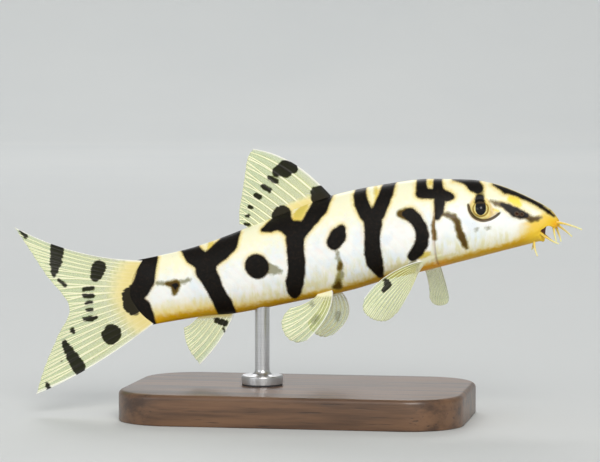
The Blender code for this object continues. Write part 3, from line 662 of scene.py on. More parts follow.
class Finish:
    """A material of the model: a Principled shader, fed by nodes, with paint over a ground colour."""

    def __init__(self, name, ground, **constants):
        self.colour = ground
        self.material = bpy.data.materials.new(name)
        self.material.use_nodes = True
        self.tree = self.material.node_tree
        self.shader = self.tree.nodes["Principled BSDF"]
        for socket, value in constants.items():
            self.shader.inputs[socket_name(socket)].default_value = value
        self.coordinates = self.node("TexCoord", output="Object")

    def node(self, kind, settings=None, sockets=None, output=0):
        """The output of a new node, whose settings are set first and then its sockets' values or links."""
        made = self.tree.nodes.new("ShaderNode" + kind)
        for name, value in (settings or {}).items():
            setattr(made, name, value)
        for name, value in (sockets or {}).items():
            self.feed(made.inputs[name], value)
        return Socket(self, made.outputs[output])

    def feed(self, socket, value):
        if isinstance(value, Socket):
            self.tree.links.new(value.link, socket)
        else:
            socket.default_value = value

    def surface(self, **values):
        """Links or values for the shader's own sockets, and the painted colour."""
        self.feed(self.shader.inputs["Base Color"], self.colour)
        for name, value in values.items():
            self.feed(self.shader.inputs[socket_name(name)], value)
        return self.material

    def named(self, attribute):
        return self.node("Attribute", {"attribute_name": attribute}, output="Fac")

    def grain(self, scale, detail=2.0, roughness=0.5, stretch=None):
        """Noise of about 0 to 1 on the object's own coordinates, with scale in cells per metre."""
        where = self.coordinates
        if stretch:
            where = self.node("Mapping", {}, {"Vector": where, "Scale": stretch})
        sockets = {"Vector": where, "Scale": scale, "Detail": detail, "Roughness": roughness}
        return self.node("TexNoise", {}, sockets)

    def cells(self, scale, feature="F1"):
        settings = {"feature": feature}
        return self.node("TexVoronoi", settings, {"Vector": self.coordinates, "Scale": scale}, "Distance")

    def step(self, value, start, end):
        """0 where the value is at start or before, 1 at end or past it, smooth between."""
        settings = {"interpolation_type": "SMOOTHSTEP"}
        return self.node("MapRange", settings, {"Value": value, "From Min": start, "From Max": end})

    def fade(self, value, start, end):
        """1 where the value is at start or before, 0 at end or past it."""
        return 1 - self.step(value, start, end)

    def blend(self, share, first, second):
        """Colour between two, at a share."""
        colours = [c if isinstance(c, Socket) else (*c, 1) for c in (first, second)]
        return self.node("Mix", {"data_type": "RGBA"}, {0: share, 6: colours[0], 7: colours[1]}, 2)

    def paint(self, share, colour):
        """Lays a colour over what is there, at a share."""
        self.colour = self.blend(share, self.colour, colour)

    def bump(self, height, distance, strength=1.0):
        return self.node("Bump", {}, {"Height": height, "Distance": distance, "Strength": strength})


# Colours: skin, fins, feelers, eyes, wood, steel, felt and floor
BLACK = (0.004, 0.003, 0.002)
SOOT = (0.014, 0.008, 0.004)
BROWN = (0.085, 0.045, 0.003)
OLIVE = (0.19, 0.14, 0.02)
SMOKE = (0.18, 0.17, 0.055)
WHITE = (0.89, 0.90, 0.87)
SHEEN_BLUE = (0.70, 0.79, 0.87)
BLUSH = (0.90, 0.77, 0.70)
TEA = (0.72, 0.69, 0.36)
CREAM = (0.90, 0.87, 0.58)
HONEY = (0.84, 0.67, 0.20)
STRAW = (0.90, 0.78, 0.30)
LEMON = (0.94, 0.76, 0.07)
YELLOW = (0.84, 0.56, 0.04)
AMBER = (0.60, 0.38, 0.07)
GOLD = (0.66, 0.36, 0.005)
OCHRE = (0.66, 0.52, 0.08)
EYE_EDGE_SHADE = (0.42, 0.27, 0.035)
ORANGE = (0.90, 0.36, 0.008)
CREASE_SHADE = (0.06, 0.032, 0.002)
PINK = (0.42, 0.24, 0.11)
IVORY = (0.90, 0.88, 0.62)
FIN_BASE = (0.82, 0.67, 0.27)
HOLLOW_SHADE = (0.10, 0.030, 0.015)
MEMBRANE_ROOT = (0.66, 0.70, 0.22)
MEMBRANE_EDGE = (0.54, 0.66, 0.20)
RAY_BONE = (0.93, 0.91, 0.66)
RAY_JOINT = (0.70, 0.66, 0.36)
LEAD_RAY = (0.94, 0.94, 0.90)
FIN_SMOKE = (0.12, 0.13, 0.07)
FEELER_ROOT = (0.84, 0.56, 0.05)
FEELER_TIP = (0.88, 0.84, 0.42)
FEELER_DOT = (0.66, 0.42, 0.06)
IRIS_DEEP = (0.82, 0.60, 0.14)
IRIS_PALE = (0.92, 0.82, 0.36)
LID_SHADE = (0.06, 0.035, 0.015)
PUPIL = (0.003, 0.003, 0.004)
PUPIL_TOP = (0.05, 0.03, 0.008)
WOOD_DEEP = (0.055, 0.026, 0.013)
WOOD_PALE = (0.17, 0.085, 0.04)
WOOD_PORE = (0.02, 0.01, 0.006)
STEEL_DEEP = (0.52, 0.52, 0.53)
STEEL_PALE = (0.68, 0.68, 0.69)
FELT_DEEP = (0.02, 0.02, 0.022)
FELT_PALE = (0.06, 0.06, 0.065)
FLOOR_DEEP = (0.60, 0.62, 0.62)
FLOOR_PALE = (0.66, 0.67, 0.66)


def skin_finish():
    """Moist fish skin: silver flank, cream back, golden belly and snout, and the dark net of marks."""
    skin = Finish(
        "fish_skin", WHITE, coat_roughness=0.2, subsurface_weight=0.12, subsurface_radius=(1.0, 0.55, 0.35),
        subsurface_scale=0.0006, ior=1.4, specular_ior_level=0.18,
    )
    station, height, level, rise = (skin.named(name) for name in ("station", "height", "level", "rise"))
    black, brown, smoke, yellow = (skin.named(name) for name in ("black", "brown", "smoke", "yellow"))
    coarse = skin.grain(1250, 1.5) - 0.5
    fine = skin.grain(4600, 1.0) - 0.5
    ragged = coarse * 0.7 + fine * 0.3
    broad = skin.grain(330, 2.0)

    # Silver flank with painted sheen in blue and pink patches, tea-coloured streaks low down, cream back
    streak = skin.grain(900, 2.0, stretch=(1.6, 1, 0.35))
    skin.paint(skin.step(broad, 0.44, 0.66) * 0.5, SHEEN_BLUE)
    skin.paint(skin.step(skin.grain(520, 2.0), 0.55, 0.75) * 0.3, BLUSH)
    low = skin.fade(level + coarse * 0.2, 0.1, 0.42) * skin.step(streak, 0.34, 0.66) * 0.8
    skin.paint(low, TEA)
    skin.paint(skin.step(level + coarse * 0.3, 0.5, 0.9) * 0.85, CREAM)

    # Golden belly, higher under the snout and near the tail, orange behind the gills
    band = skin.step(station, 9, 3) * 1.2 + skin.step(station, 44, 60) * 0.3 + 1.35
    edge = (rise + coarse * 0.9) / band
    warm = skin.fade(edge, 0.8, 2.4) * (skin.step(station, 44, 58) * 0.5 + 0.3)
    skin.paint(warm, HONEY)
    skin.paint(skin.fade(edge, 0.5, 1.35), HONEY)
    belly = skin.fade(edge, 0.45, 1.0)
    breast = skin.step(station, 17.5, 19.5) * skin.fade(station, 22, 25) * 0.6
    skin.paint(belly, skin.blend(breast, GOLD, ORANGE))

    # Yellow snout with an orange tip, yellow patches, white streak at the pectoral fin
    above_lips = (height - 1.2).math("MAXIMUM", 0.0)
    snout = skin.fade(station + above_lips * 3.0 + coarse, 3.8, 7.2)
    skin.paint(snout * 0.92, YELLOW)
    tip = skin.fade(station, 0.5, 1.7) * skin.fade(height, 0.2, 1.3)
    skin.paint(tip * 0.55, ORANGE)
    patches = skin.fade(yellow + ragged * 0.8, -0.2, 0.4)
    skin.paint(patches * 0.95, skin.blend(skin.step(station, 8, 11), LEMON, OCHRE))
    skin.paint(skin.fade(skin.named("pale") + ragged * 0.3, -0.1, 0.25), IVORY)

    # Golden lower lid, and round the eye a brown rim of painted shade where the skin meets the eyeball,
    # then straw and amber
    orbit = skin.named("orbit")
    lid = skin.blend(skin.step(coarse, -0.1, 0.15), HONEY, AMBER)
    skin.paint(skin.named("lid") * 0.75, lid)
    ring = skin.blend(skin.step(orbit + coarse * 0.5, 1.4, 1.85), STRAW, AMBER)
    skin.paint(skin.fade(orbit + coarse * 0.3, 1.6, 2.3) * 0.85, ring)
    skin.paint(skin.fade(orbit, 1.26, 1.42), EYE_EDGE_SHADE)

    # Fine freckles, lines between the muscle blocks, yellow halos of the marks, straw hind end
    freckle = skin.step(skin.cells(2600), 0.16, 0.05) * skin.step(broad, 0.5, 0.62) * 0.35
    skin.paint(freckle, SMOKE)
    skin.paint(skin.named("muscle") * 0.22, BLUSH)
    halo = skin.fade(black + coarse * 0.6, 0.05, 0.85) * skin.step(level + coarse * 0.2, 0.3, 0.85)
    skin.paint(halo * 0.7, skin.blend(skin.step(broad, 0.4, 0.65) * 0.5, HONEY, YELLOW))
    hind = skin.step(station + coarse * 1.5, 67.2, 71.0) * 0.9
    skin.paint(hind, FIN_BASE)

    # Dark marks: smoky ones, with the painted shadow of the pectoral fin among them, then brown with olive
    # edges, then black with a brown fringe
    haze_and_shadow = skin.fade(smoke + ragged, -0.1, 0.45) * 0.8
    skin.paint(haze_and_shadow, SMOKE)
    tan = skin.fade(brown + ragged * 0.6, -0.2, 0.3)
    middle = skin.fade(brown + ragged * 0.5, -0.36, -0.02)
    skin.paint(tan, skin.blend(middle, OLIVE, BROWN))
    skin.paint(middle * skin.step(coarse, 0.0, 0.25) * 0.5, SOOT)
    fringe = skin.fade(black + ragged * 0.6, 0.0, 0.32) * skin.step(coarse + fine, -0.25, 0.1) * 0.85
    skin.paint(fringe, BROWN)
    dark = skin.fade(black + ragged * 0.45, -0.15, 0.12)
    ink = skin.blend(skin.step(skin.grain(2200, 3.0), 0.45, 0.75) * 0.7, BLACK, SOOT)
    skin.paint(dark, ink)

    # Crease below the eye painted dark as its shade, gill groove with nostril rims, then painted shade in
    # the mouth, nostrils and eye sockets
    skin.paint(skin.step(skin.named("crease"), 0.1, 0.65) * 0.95, CREASE_SHADE)
    skin.paint(skin.named("pink") * 0.4, PINK)
    skin.paint(skin.named("recess"), HOLLOW_SHADE)

    # Scales, which the head lacks, and the fine grain of the skin
    scaled = skin.step(station, 19, 24) * skin.fade(station, 66, 70)
    relief = skin.cells(2900) * scaled * 0.8 + fine * 0.5 + skin.grain(14000, 2.0) * 0.25
    wet = skin.grain(700, 3.0)
    return skin.surface(
        roughness=0.34 + wet * 0.16 + dark * 0.06,
        coat_weight=0.24 - skin.named("recess") * 0.2 - dark.math("MAXIMUM", belly) * 0.2,
        normal=skin.bump(relief, 0.00004, 0.55),
    )


def fin_finish():
    """Clear fin membrane with pale jointed rays, and dark spots that the rays break up."""
    fin = Finish(
        "fin_membrane", MEMBRANE_ROOT, coat_weight=0.06, coat_roughness=0.2, ior=1.4,
        specular_ior_level=0.18,
    )
    ray, out, lead = fin.named("ray"), fin.named("out"), fin.named("lead")
    coarse = fin.grain(1500, 3.0) - 0.5
    joints = fin.named("joints")
    fin.paint(fin.step(out + coarse * 0.5, 0.1, 0.9), MEMBRANE_EDGE)
    fin.paint(fin.step(ray, 0.15, 0.75), fin.blend(joints * 0.3, RAY_BONE, RAY_JOINT))
    foot = fin.step(fin.named("foot") + coarse * 0.4, 0.1, 0.9)
    fin.paint(foot * 0.9, fin.blend(fin.step(fin.named("warm"), 0.25, 1.1), IVORY, FIN_BASE))
    fin.paint(lead * 0.85, LEAD_RAY)
    spot = fin.fade(fin.named("black") + coarse * 0.5 + ray * 0.12, -0.12, 0.16)
    fin.paint(spot * 0.98, BLACK)
    smoke = fin.fade(fin.named("smoke") + coarse, -0.1, 0.5) * 0.6
    fin.paint(smoke, FIN_SMOKE)
    solid = (ray * 0.6 + 0.3).math("MAXIMUM", foot * 0.97).math("MAXIMUM", spot)
    solid = solid.math("MAXIMUM", smoke * 0.8).math("MAXIMUM", lead * 0.95)
    return fin.surface(
        roughness=0.42 - ray * 0.08,
        alpha=solid,
        normal=fin.bump(fin.grain(6000, 2.0) + joints * 0.6, 0.00002, 0.6),
    )


def feeler_finish():
    """Soft yellow-orange skin of the barbels, paler to the tip."""
    feeler = Finish(
        "feeler_skin", FEELER_ROOT, subsurface_weight=0.2, subsurface_scale=0.0004,
        coat_weight=0.4, coat_roughness=0.15,
    )
    out = feeler.named("out")
    dots = feeler.step(feeler.grain(5000, 2.0), 0.5, 0.68)
    feeler.paint(feeler.step(out, 0.05, 0.9), FEELER_TIP)
    feeler.paint(dots * 0.25, FEELER_DOT)
    return feeler.surface(
        roughness=0.34 + dots * 0.1,
        normal=feeler.bump(feeler.grain(7000, 3.0), 0.00004, 0.5),
    )


def eye_finish():
    """Glossy eye: black pupil, golden iris with fine rays, a dark ring of painted shade at its edge where
    the lid meets it, and a dark upper part painted as the lid's shade.
    """
    eye = Finish(
        "wet_eye", IRIS_DEEP, coat_weight=0.7, coat_roughness=0.04, coat_ior=1.33,
        roughness=0.3, specular_ior_level=0.2,
    )
    radius, upward = eye.named("radius"), eye.named("upward")
    streak = eye.grain(2600, 3.0)
    eye.paint(eye.step(streak, 0.35, 0.65), IRIS_PALE)
    # Painted shade: a dark ring where the lid meets the eyeball, then the lid's shade over the upper part
    eye.paint(eye.step(radius, EYE_IRIS - 0.16, EYE_IRIS - 0.04), EYE_EDGE_SHADE)
    eye.paint(eye.step(upward + (streak - 0.5) * 0.4, 0.85, 1.15) * 0.9, LID_SHADE)
    pupil = eye.fade(eye.named("pupil") + (streak - 0.5) * 0.06, EYE_PUPIL - 0.05, EYE_PUPIL + 0.03)
    eye.paint(pupil, eye.blend(eye.step(upward, 0.6, 1.0), PUPIL, PUPIL_TOP))
    return eye.surface(metallic=(1 - pupil) * 0.35)


def wood_finish():
    """Dark stained wood with long grain and a satin lacquer."""
    wood = Finish("dark_wood", WOOD_DEEP, coat_weight=0.35, coat_roughness=0.22)
    wander = wood.grain(60, 2.0, stretch=(0.25, 1, 1))
    rings = wood.grain(420, 4.0, 0.6, stretch=(0.07, 1, 1)) + wander * 0.4
    pores = wood.step(wood.grain(2600, 2.0, stretch=(0.05, 1, 1)), 0.62, 0.72)
    wood.paint(wood.step(rings, 0.5, 0.85), WOOD_PALE)
    wood.paint(pores * 0.6, WOOD_PORE)
    return wood.surface(
        roughness=0.36 + rings * 0.12,
        normal=wood.bump(rings * 0.4 - pores * 0.5, 0.00006, 0.6),
    )


def steel_finish():
    """Satin steel with fine turning lines round the rod."""
    steel = Finish("satin_steel", STEEL_DEEP, metallic=1.0)
    lines = steel.grain(9000, 2.0, stretch=(0.02, 0.02, 1))
    steel.paint(lines, STEEL_PALE)
    return steel.surface(
        roughness=0.24 + lines * 0.16,
        normal=steel.bump(lines, 0.00001, 0.5),
    )


def felt_finish():
    """Dark felt washer under the rod's foot."""
    felt = Finish("felt", FELT_DEEP)
    fibres = felt.grain(6000, 3.0)
    felt.paint(fibres, FELT_PALE)
    return felt.surface(roughness=0.9, normal=felt.bump(fibres, 0.0001, 0.8))


def floor_finish():
    """Pale matt floor of the studio."""
    floor = Finish("studio_floor", FLOOR_DEEP)
    cloud = floor.grain(6, 3.0)
    floor.paint(cloud, FLOOR_PALE)
    return floor.surface(roughness=0.7 + cloud * 0.1)


# Pieces of the fish
def eye_relief(points, hand):
    """Skin points reshaped round one eye, their distance from its axis, its crease and its lower lid."""
    base, outward = on_skin(EYE_STATION, hand * EYE_ANGLE)
    offset = points - base
    out = offset @ outward
    spoke = offset - out[:, None] * outward
    radial = np.linalg.norm(spoke, axis=1)
    near = (out > -2) & (points[:, 1] * hand > 0)
    ahead = np.cross(np.cross(outward, (-1, 0, 0)), outward)
    ahead = ahead / np.linalg.norm(ahead)
    above = np.cross(outward, ahead) * hand
    bearing = np.degrees(np.arctan2(spoke @ above, spoke @ ahead)) % 360
    below = between(bearing, *CREASE_ENDS) * near
    crease_at = smooth(CREASE_LINE, bearing)
    crease = hump(radial, crease_at, CREASE_FORM[0]) * below
    lid = (1 - ease(radial / crease_at, LID_FADE, 1)) * below
    seat = (FOLD_SEAT[2] - out) * (1 - ease(radial, FOLD_SEAT[0], FOLD_SEAT[1]))
    fold = FOLD_HEIGHT * hump(radial, FOLD_RADIUS, FOLD_WIDTH)
    rise = seat + fold - PIT_DEPTH * (1 - ease(radial, *PIT_RADII))
    moved = points + (near * (rise - CREASE_FORM[1] * crease))[:, None] * outward
    return moved, np.where(near, radial, FAR), crease, lid


def nostril_relief(points, hand):
    """Height of the skin round the two openings of one nostril, its rims and its holes."""
    relief = np.zeros(len(points))
    recess = np.zeros(len(points))
    rims = np.zeros(len(points))
    for behind, radius, rim, depth in NOSTRILS:
        base, _ = on_skin(NOSTRIL_STATION + behind, hand * NOSTRIL_ANGLE)
        away = np.linalg.norm(points - base, axis=1)
        hole = 1 - ease(away, 0.45 * radius, radius)
        edge = hump(away, radius + NOSTRIL_RIM[0], NOSTRIL_RIM[1])
        relief += rim * edge - depth * hole
        recess = np.maximum(recess, hole)
        rims = np.maximum(rims, edge)
    return relief, recess, rims


def skin_form(across, out):
    """The whole skin from snout to tail root, with its folds and grooves, and what the finish needs."""
    station = np.interp(out, *np.array(SKIN_ROWS).T)
    turn = 2 * across - 1
    angle = np.sign(turn) * np.radians(np.interp(np.abs(turn), *np.array(SKIN_COLUMNS).T))
    points = skin_points(station, angle)
    outward = outward_from(skin_points, station, angle)
    at, side, height = points.T
    back, belly = smooth(BACK_LINE, at), smooth(BELLY_LINE, at)
    level = (height - belly) / (back - belly)

    # Gill slit, lateral line and muscle blocks
    slit_at, slit_width, slit_depth = GILL_SLIT
    slit = hump(station, slit_at, slit_width) * between(np.abs(angle), *np.radians(GILL_SLIT_ANGLES))
    on_trunk = between(at, *TRUNK)
    line = smooth(LATERAL_LINE, at)
    lateral = hump(height, line, LATERAL_FORM[0]) * on_trunk
    chevron = at + MUSCLE_BEND[0] * np.abs(height - line) ** MUSCLE_BEND[1]
    phase = np.abs((chevron / MUSCLE_PITCH) % 1 - 0.5)
    muscle = hump(phase, 0, MUSCLE_FORM[0]) * on_trunk * between(level, *MUSCLE_LEVELS)
    relief = -slit_depth * slit - LATERAL_FORM[1] * lateral - MUSCLE_FORM[1] * muscle

    # Furrows across the lips
    along = at - MOUTH_CRESCENT * side ** 2
    lips = sum(hump(along, centre, 1.2 * width) for centre, width, _ in (UPPER_LIP, LOWER_LIP))
    lips = lips * ease(-np.cos(angle), 0.1, 0.4)
    relief = relief + LIP_FURROW_DEPTH * np.cos(2 * np.pi * side / LIP_FURROW) * lips

    in_mouth = mouth_relief(at, side) * ease(-np.cos(angle), *MOUTH_LEVEL) * (at < MOUTH_END)
    recess = ease(in_mouth, 0.15, 0.9)
    for hand in (1, -1):
        raised, hole, rims = nostril_relief(points, hand)
        relief = relief + raised
        recess = np.maximum(recess, hole)
        slit = np.maximum(slit, 0.4 * rims)
    points = points + outward * relief[:, None]
    orbit = np.full(len(points), FAR)
    crease = lid = 0
    for hand in (1, -1):
        points, radial, one_crease, one_lid = eye_relief(points, hand)
        orbit = np.minimum(orbit, radial)
        crease = crease + one_crease
        lid = lid + one_lid
    recess = np.maximum(recess, 1 - ease(orbit, PIT_RADII[0] + 0.1, PIT_RADII[1]))

    snout = np.maximum(stroke_distance([SNOUT_STRIPE], at, height), SNOUT_MIDLINE - np.abs(side))
    named = {
        "station": at,
        "height": height,
        "level": level,
        "rise": height - belly,
        "muscle": muscle,
        "recess": recess,
        "crease": crease,
        "lid": lid,
        "pink": slit,
        "orbit": orbit,
        "black": np.minimum(stroke_distance(BLACK_MARKS.values(), at, height), snout),
        "brown": stroke_distance(BROWN_MARKS.values(), at, height),
        # Distances to the smoky marks and to the pectoral fin's painted shadow
        "smoke": stroke_distance(SMOKE_AND_SHADOW_MARKS.values(), at, height),
        "yellow": stroke_distance(YELLOW_MARKS.values(), at, height),
        "pale": stroke_distance(PALE_MARKS, at, height),
    }
    return place(points), named


def make_skin(finish):
    mesh = closed_up(warped_grid(SKIN_COLUMN_COUNT, SKIN_ROW_COUNT, skin_form))
    return finished("skin", mesh, finish, "skin", "head", "trunk", "tail_stalk")


def make_eye(name, hand, finish):
    """Eyeball with its pole looking out of the head, and the distance from the pole for its finish."""
    centre, outward = on_skin(EYE_STATION, hand * EYE_ANGLE, depth=EYE_DEPTH)
    here, there = (Vector(point) for point in place([centre, centre + outward]))
    axis = (there - here).normalized()
    upward = (Vector((0, 0, 1)) - axis * axis.z).normalized()
    mesh = bmesh.new()
    bmesh.ops.create_uvsphere(mesh, u_segments=72, v_segments=48, radius=EYE_RADIUS * MM)
    turn = Vector((0, 0, 1)).rotation_difference(axis).to_matrix()
    bmesh.ops.rotate(mesh, verts=mesh.verts, matrix=turn, cent=(0, 0, 0))
    cornea, cornea_width = EYE_CORNEA
    titles = ("radius", "upward", "pupil")
    for title in titles:
        mesh.verts.layers.float.new(title)
    radius_layer, upward_layer, pupil_layer = (mesh.verts.layers.float[title] for title in titles)
    for vert in mesh.verts:
        out = vert.co.dot(axis)
        around = vert.co - axis * out
        vert[radius_layer] = around.length / MM if out > 0 else FAR
        vert[upward_layer] = around.dot(upward) / MM
        tall = EYE_PUPIL_TALL[0 if around.dot(upward) > 0 else 1]
        vert[pupil_layer] = (around + upward * around.dot(upward) * (1 / tall - 1)).length / MM
        vert.co += axis * cornea * MM * float(hump(around.length / MM, 0, cornea_width)) * (out > 0)
    bmesh.ops.translate(mesh, verts=mesh.verts, vec=here)
    return finished(name + "_ball", mesh, finish, "eye", name)


def along_ray(ray, share):
    """Points at shares of the way along rays, each given by its root, middle and tip."""
    root, middle, tip = ray
    share = np.asarray(share)[:, None]
    control = middle * 2 - (root + tip) / 2
    return root * (1 - share) ** 2 + control * 2 * share * (1 - share) + tip * share ** 2


def between_rays(guides, share):
    """Rays at shares of the way across a fin, from a few guide rays."""
    reach = share * (len(guides) - 1)
    parts = np.array(guides).transpose(1, 2, 0)
    return [np.stack([smooth(tuple(enumerate(axis)), reach) for axis in part], axis=-1) for part in parts]


def ray_crest(across, out, rays, fork):
    """1 on the crest of a ray and 0 on the membrane; each ray forks twice, but for the leading ones."""
    position = across * (rays - 1)
    offset = np.abs(position - np.round(position))
    forked = ease(position, *FORK_FROM)
    first = np.abs(offset - FORK_SPREADS[0] * ease(out, fork, 1.05) * forked)
    second = np.abs(first - FORK_SPREADS[1] * ease(out, fork + 0.3, 1.1) * forked)
    whole, split = RAY_WIDTHS
    return hump(second, 0, whole - (whole - split) * ease(out, fork, 1) * forked)


def make_fin(name, guides, finish):
    """Thin closed fin over guide rays (root, middle, tip), thick at its foot and on its rays."""
    kind = name.removesuffix("_right").removesuffix("_left")
    rays, rows, fork, (foot_wall, foot_thins, foot_ends, foot_width) = FIN_FORMS[kind]
    paired = kind.startswith("pe")
    corner, corner_width = FIN_CORNER if paired else (0, 1)
    columns = COLUMNS_PER_RAY * (rays - 1)

    def form(across, out):
        crest = ray_crest(across, out, rays, fork)
        lead = hump(across, 0, FIN_EDGE_RAYS[0] / (rays - 1))
        if kind == "tail_fin":
            lead = lead + hump(across, 1, FIN_EDGE_RAYS[1] / (rays - 1))
        position = across * (rays - 1)
        notch = FIN_NOTCH * (1 - np.cos(2 * np.pi * (position - np.round(position)))) / 2
        corners = hump(across, 0, corner_width) + hump(across, 1, corner_width)
        reach = out * (1 - notch) * (1 - corner * corners)
        spread = between_rays(guides, across)
        points = along_ray(spread, reach)
        points[:, 1] += FIN_WAVE * np.sin(across * 9 + 1) * out ** 2
        ray_wall = FIN_RAY + (FIN_RAY_TIP - FIN_RAY) * out + (FIN_LEAD_RAY - FIN_RAY) * lead * (1 - out)
        wall = FIN_MEMBRANE + (ray_wall - FIN_MEMBRANE) * np.maximum(crest, lead)
        length = np.linalg.norm(points - spread[0], axis=1)
        in_foot = 1 - ease(across, foot_width - 0.1, foot_width + 0.1)
        foot = (1 - ease(length, foot_thins, foot_ends)) * in_foot
        wall = np.maximum(wall, foot_wall * (1 - ease(length, 0, foot_ends)))
        wall = wall + (FIN_MARGIN - wall) * ease(out, 0.96, 1)
        beat = np.abs((length / FIN_JOINT_PITCH) % 1 - 0.5)
        joints = hump(beat, 0, 0.12) * crest * ease(out, 0.3, 0.45)
        marks = FIN_MARKS.get(name, ())
        faint = kind == "pelvic_fin"
        far = np.full(len(points), FAR)
        distance = stroke_distance(marks, points[:, 0], points[:, 2])
        return place(points), {
            "wall": wall / FIN_SHEET,
            "ray": crest,
            "lead": lead,
            "out": out,
            "foot": foot,
            "warm": foot * (not paired),
            "joints": joints,
            "black": far if faint else distance,
            "smoke": distance if faint else far,
        }

    mesh = warped_grid(columns, rows, form)
    wall_layer = mesh.verts.layers.float["wall"]
    shares = [vert[wall_layer] for vert in mesh.verts]
    fin = finished(name + "_sheet", mesh, finish, "fin", name)
    group = fin.vertex_groups.new(name="wall")
    for index, share in enumerate(shares):
        group.add([index], share, "REPLACE")
    shell = fin.modifiers.new("wall", "SOLIDIFY")
    shell.thickness = FIN_SHEET * MM
    shell.offset = 0
    shell.vertex_group = group.name
    return fin


def middle_guide(root, middle, tip):
    """Guide ray of a middle fin, from (station, height) points and a tip (station, height, side)."""
    return (root[0], 0, root[1]), (middle[0], 0, middle[1]), (tip[0], tip[2], tip[1])


def rooted_guides(line, inward, rays):
    """Guide rays of a middle fin, rooted inward of the back or belly line."""
    return [
        middle_guide((station, float(smooth(line, station)) + inward), middle, tip)
        for station, middle, tip in rays
    ]


def paired_guides(hand, rays):
    """Guide rays of a paired fin, rooted in the skin of its side."""
    return [
        (tuple(on_skin(station, hand * math.radians(angle), depth=ROOT_SINK)[0]), middle, tip)
        for station, angle, middle, tip in rays
    ]


def make_fins(finish):
    for name, guides in (
        ("dorsal_fin", rooted_guides(BACK_LINE, -ROOT_SINK, DORSAL_RAYS)),
        ("anal_fin", rooted_guides(BELLY_LINE, ROOT_SINK, ANAL_RAYS)),
        ("tail_fin", [middle_guide(*ray) for ray in TAIL_RAYS]),
        ("pectoral_fin_right", paired_guides(-1, PECTORAL_RIGHT_RAYS)),
        ("pectoral_fin_left", paired_guides(1, PECTORAL_LEFT_RAYS)),
        ("pelvic_fin_right", paired_guides(-1, PELVIC_RIGHT_RAYS)),
        ("pelvic_fin_left", paired_guides(1, PELVIC_LEFT_RAYS)),
    ):
        make_fin(name, guides, finish)


def make_barbel(name, hand, root_at, middle, tip, finish):
    """Tapered feeler on a bent line, wide at its foot in the lip and round at its tip."""
    root, _ = on_skin(root_at[0], hand * math.radians(root_at[1]), depth=BARBEL_SINK)
    ray = [np.array(point, float) for point in (root, middle, tip)]

    def form(across, out):
        centre = along_ray(ray, out)
        step = 0.01
        tangent = along_ray(ray, out + step) - along_ray(ray, out - step)
        tangent /= np.linalg.norm(tangent, axis=1, keepdims=True)
        level = np.cross(ray[1] - ray[0], ray[2] - ray[1])
        level = level / np.linalg.norm(level)
        upright = np.cross(tangent, level)
        foot = (BARBEL_FOOT - 1) * (1 - ease(out, 0, 0.35))
        taper = 1 - (1 - BARBEL_TIP_SHARE) * out + foot
        closing = np.sqrt(1 - np.clip((out - 0.95) / 0.05, 0, 1) ** 2) * np.sqrt(np.clip(out / 0.02, 0, 1))
        knots = 1 + 0.05 * np.sin(out * 60) * ease(out, 0.1, 0.3)
        radius = (BARBEL_RADIUS * taper * closing * knots)[:, None]
        turn = (2 * np.pi * across)[:, None]
        return place(centre + radius * (np.cos(turn) * upright + np.sin(turn) * level)), {"out": out}

    mesh = closed_up(warped_grid(24, 60, form))
    finished("feeler_" + name, mesh, finish, "feeler", "barbel_" + name)


# Pieces of the stand
def make_base(finish):
    """Flat block with rounded corners, then a rounded upper and a slightly rounded lower edge."""
    length, width, height = (size * MM for size in BASE_SIZE)
    block = bmesh.new()
    bmesh.ops.create_cube(block, size=1)
    bmesh.ops.scale(block, vec=(length, width, height), verts=block.verts)
    bmesh.ops.translate(block, vec=(0, 0, height / 2), verts=block.verts)
    for offset, segments, chosen in (
        (BASE_CORNER, 24, lambda levels: max(levels) - min(levels) > height / 2),
        (BASE_EDGE, 8, lambda levels: min(levels) > height * 0.99),
        (BASE_UNDER_EDGE, 3, lambda levels: max(levels) < height * 0.01),
    ):
        edges = [edge for edge in block.edges if chosen([vert.co.z for vert in edge.verts])]
        bmesh.ops.bevel(
            block, geom=edges, offset=offset * MM, segments=segments, profile=0.5,
            affect="EDGES", material=-1,
        )
    base = finished("base", block, finish, "wood", "stand_base")
    base.data.set_sharp_from_angle(angle=SHARP_ANGLE)


def make_rod(steel, felt):
    """Rod that ends in the belly, with a fillet and a chamfered foot, and the washer under the foot."""
    spot = place([(ROD_STATION, 0, float(smooth(BELLY_LINE, ROD_STATION)) + ROD_IN_BODY)])[0]
    low = BASE_SIZE[2] + GAP
    profile = [(0, spot[2] / MM), (ROD_RADIUS, spot[2] / MM)]
    for sine, cosine in quarter_turn(ARC_STEPS):
        reach = ROD_RADIUS + ROD_FILLET * (1 - cosine)
        profile.append((reach, low + FOOT_HEIGHT + ROD_FILLET * (1 - sine)))
    for sine, cosine in quarter_turn(ARC_STEPS):
        reach = FOOT_RADIUS - FOOT_CHAMFER * (1 - sine)
        profile.append((reach, low + FOOT_HEIGHT - FOOT_CHAMFER * (1 - cosine)))
    profile += [(FOOT_RADIUS, low), (0, low)]
    washer = [(0, low), (WASHER_RADIUS, low), (WASHER_RADIUS, BASE_SIZE[2]), (0, BASE_SIZE[2])]
    for name, outline, finish, replaced in (
        ("rod", profile, steel, ["stand_rod"]),
        ("foot_washer", washer, felt, []),
    ):
        mesh = turned(outline)
        bmesh.ops.translate(mesh, verts=mesh.verts, vec=(spot[0], spot[1], 0))
        made = finished(name, mesh, finish, "steel", *replaced)
        made.data.set_sharp_from_angle(angle=SHARP_ANGLE)


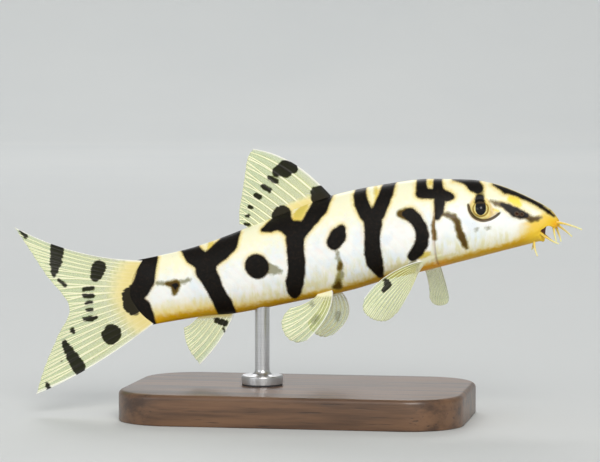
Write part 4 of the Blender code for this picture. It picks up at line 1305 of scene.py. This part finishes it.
# Studio
def make_floor(finish):
    """Wide round floor whose rim curves up, so that it is plain from every side."""
    flat, rim = 1500.0, 700.0
    outline = [(0, 0), (40, 0), (150, 0), (500, 0), (flat, 0)]
    for sine, cosine in quarter_turn(24)[1:]:
        outline.append((flat + rim * sine, rim * (1 - cosine)))
    outline.append((flat + rim, 2 * rim))
    mesh = turned(outline)
    bmesh.ops.reverse_faces(mesh, faces=[f for f in mesh.faces if f.normal.z < 0])
    floor = finished("floor", mesh, finish, None)


def make_light(name, power, size, place_at, colour):
    light = bpy.data.lights.new(name, "AREA")
    light.energy = power
    light.size = size
    light.color = colour
    lamp = added(name, light)
    lamp.location = place_at
    aim = Vector(LIGHT_TARGET) - lamp.location
    lamp.rotation_euler = aim.to_track_quat("-Z", "Y").to_euler()


def make_studio():
    make_floor(floor_finish())
    for light in LIGHTS:
        make_light(*light)
    world = bpy.data.worlds.new("studio")
    world.use_nodes = True
    background = world.node_tree.nodes["Background"]
    background.inputs["Color"].default_value = SKY_COLOUR
    background.inputs["Strength"].default_value = SKY_STRENGTH
    bpy.context.scene.world = world
    bpy.context.scene.view_settings.view_transform = "Standard"


def make_camera():
    back = Vector((
        math.sin(CAMERA_TURN) * math.cos(CAMERA_RISE),
        -math.cos(CAMERA_TURN) * math.cos(CAMERA_RISE),
        math.sin(CAMERA_RISE),
    ))
    data = bpy.data.cameras.new("camera")
    data.sensor_width = 36.0
    data.lens = data.sensor_width * CAMERA_DISTANCE * PIXELS_PER_MM / PICTURE_WIDTH
    data.clip_start = 0.01
    data.clip_end = 20.0
    camera = added("camera", data)
    camera.location = (Vector(CAMERA_TARGET) + back * CAMERA_DISTANCE) * MM
    camera.rotation_euler = (-back).to_track_quat("-Z", "Y").to_euler()
    bpy.context.scene.camera = camera


make_camera()
make_studio()
make_skin(skin_finish())
wet_eye = eye_finish()
for eye_name, eye_hand in (("eye_left", 1), ("eye_right", -1)):
    make_eye(eye_name, eye_hand, wet_eye)
make_fins(fin_finish())
soft_feeler = feeler_finish()
for barbel in BARBELS:
    make_barbel(*barbel, soft_feeler)
make_base(wood_finish())
make_rod(steel_finish(), felt_finish())
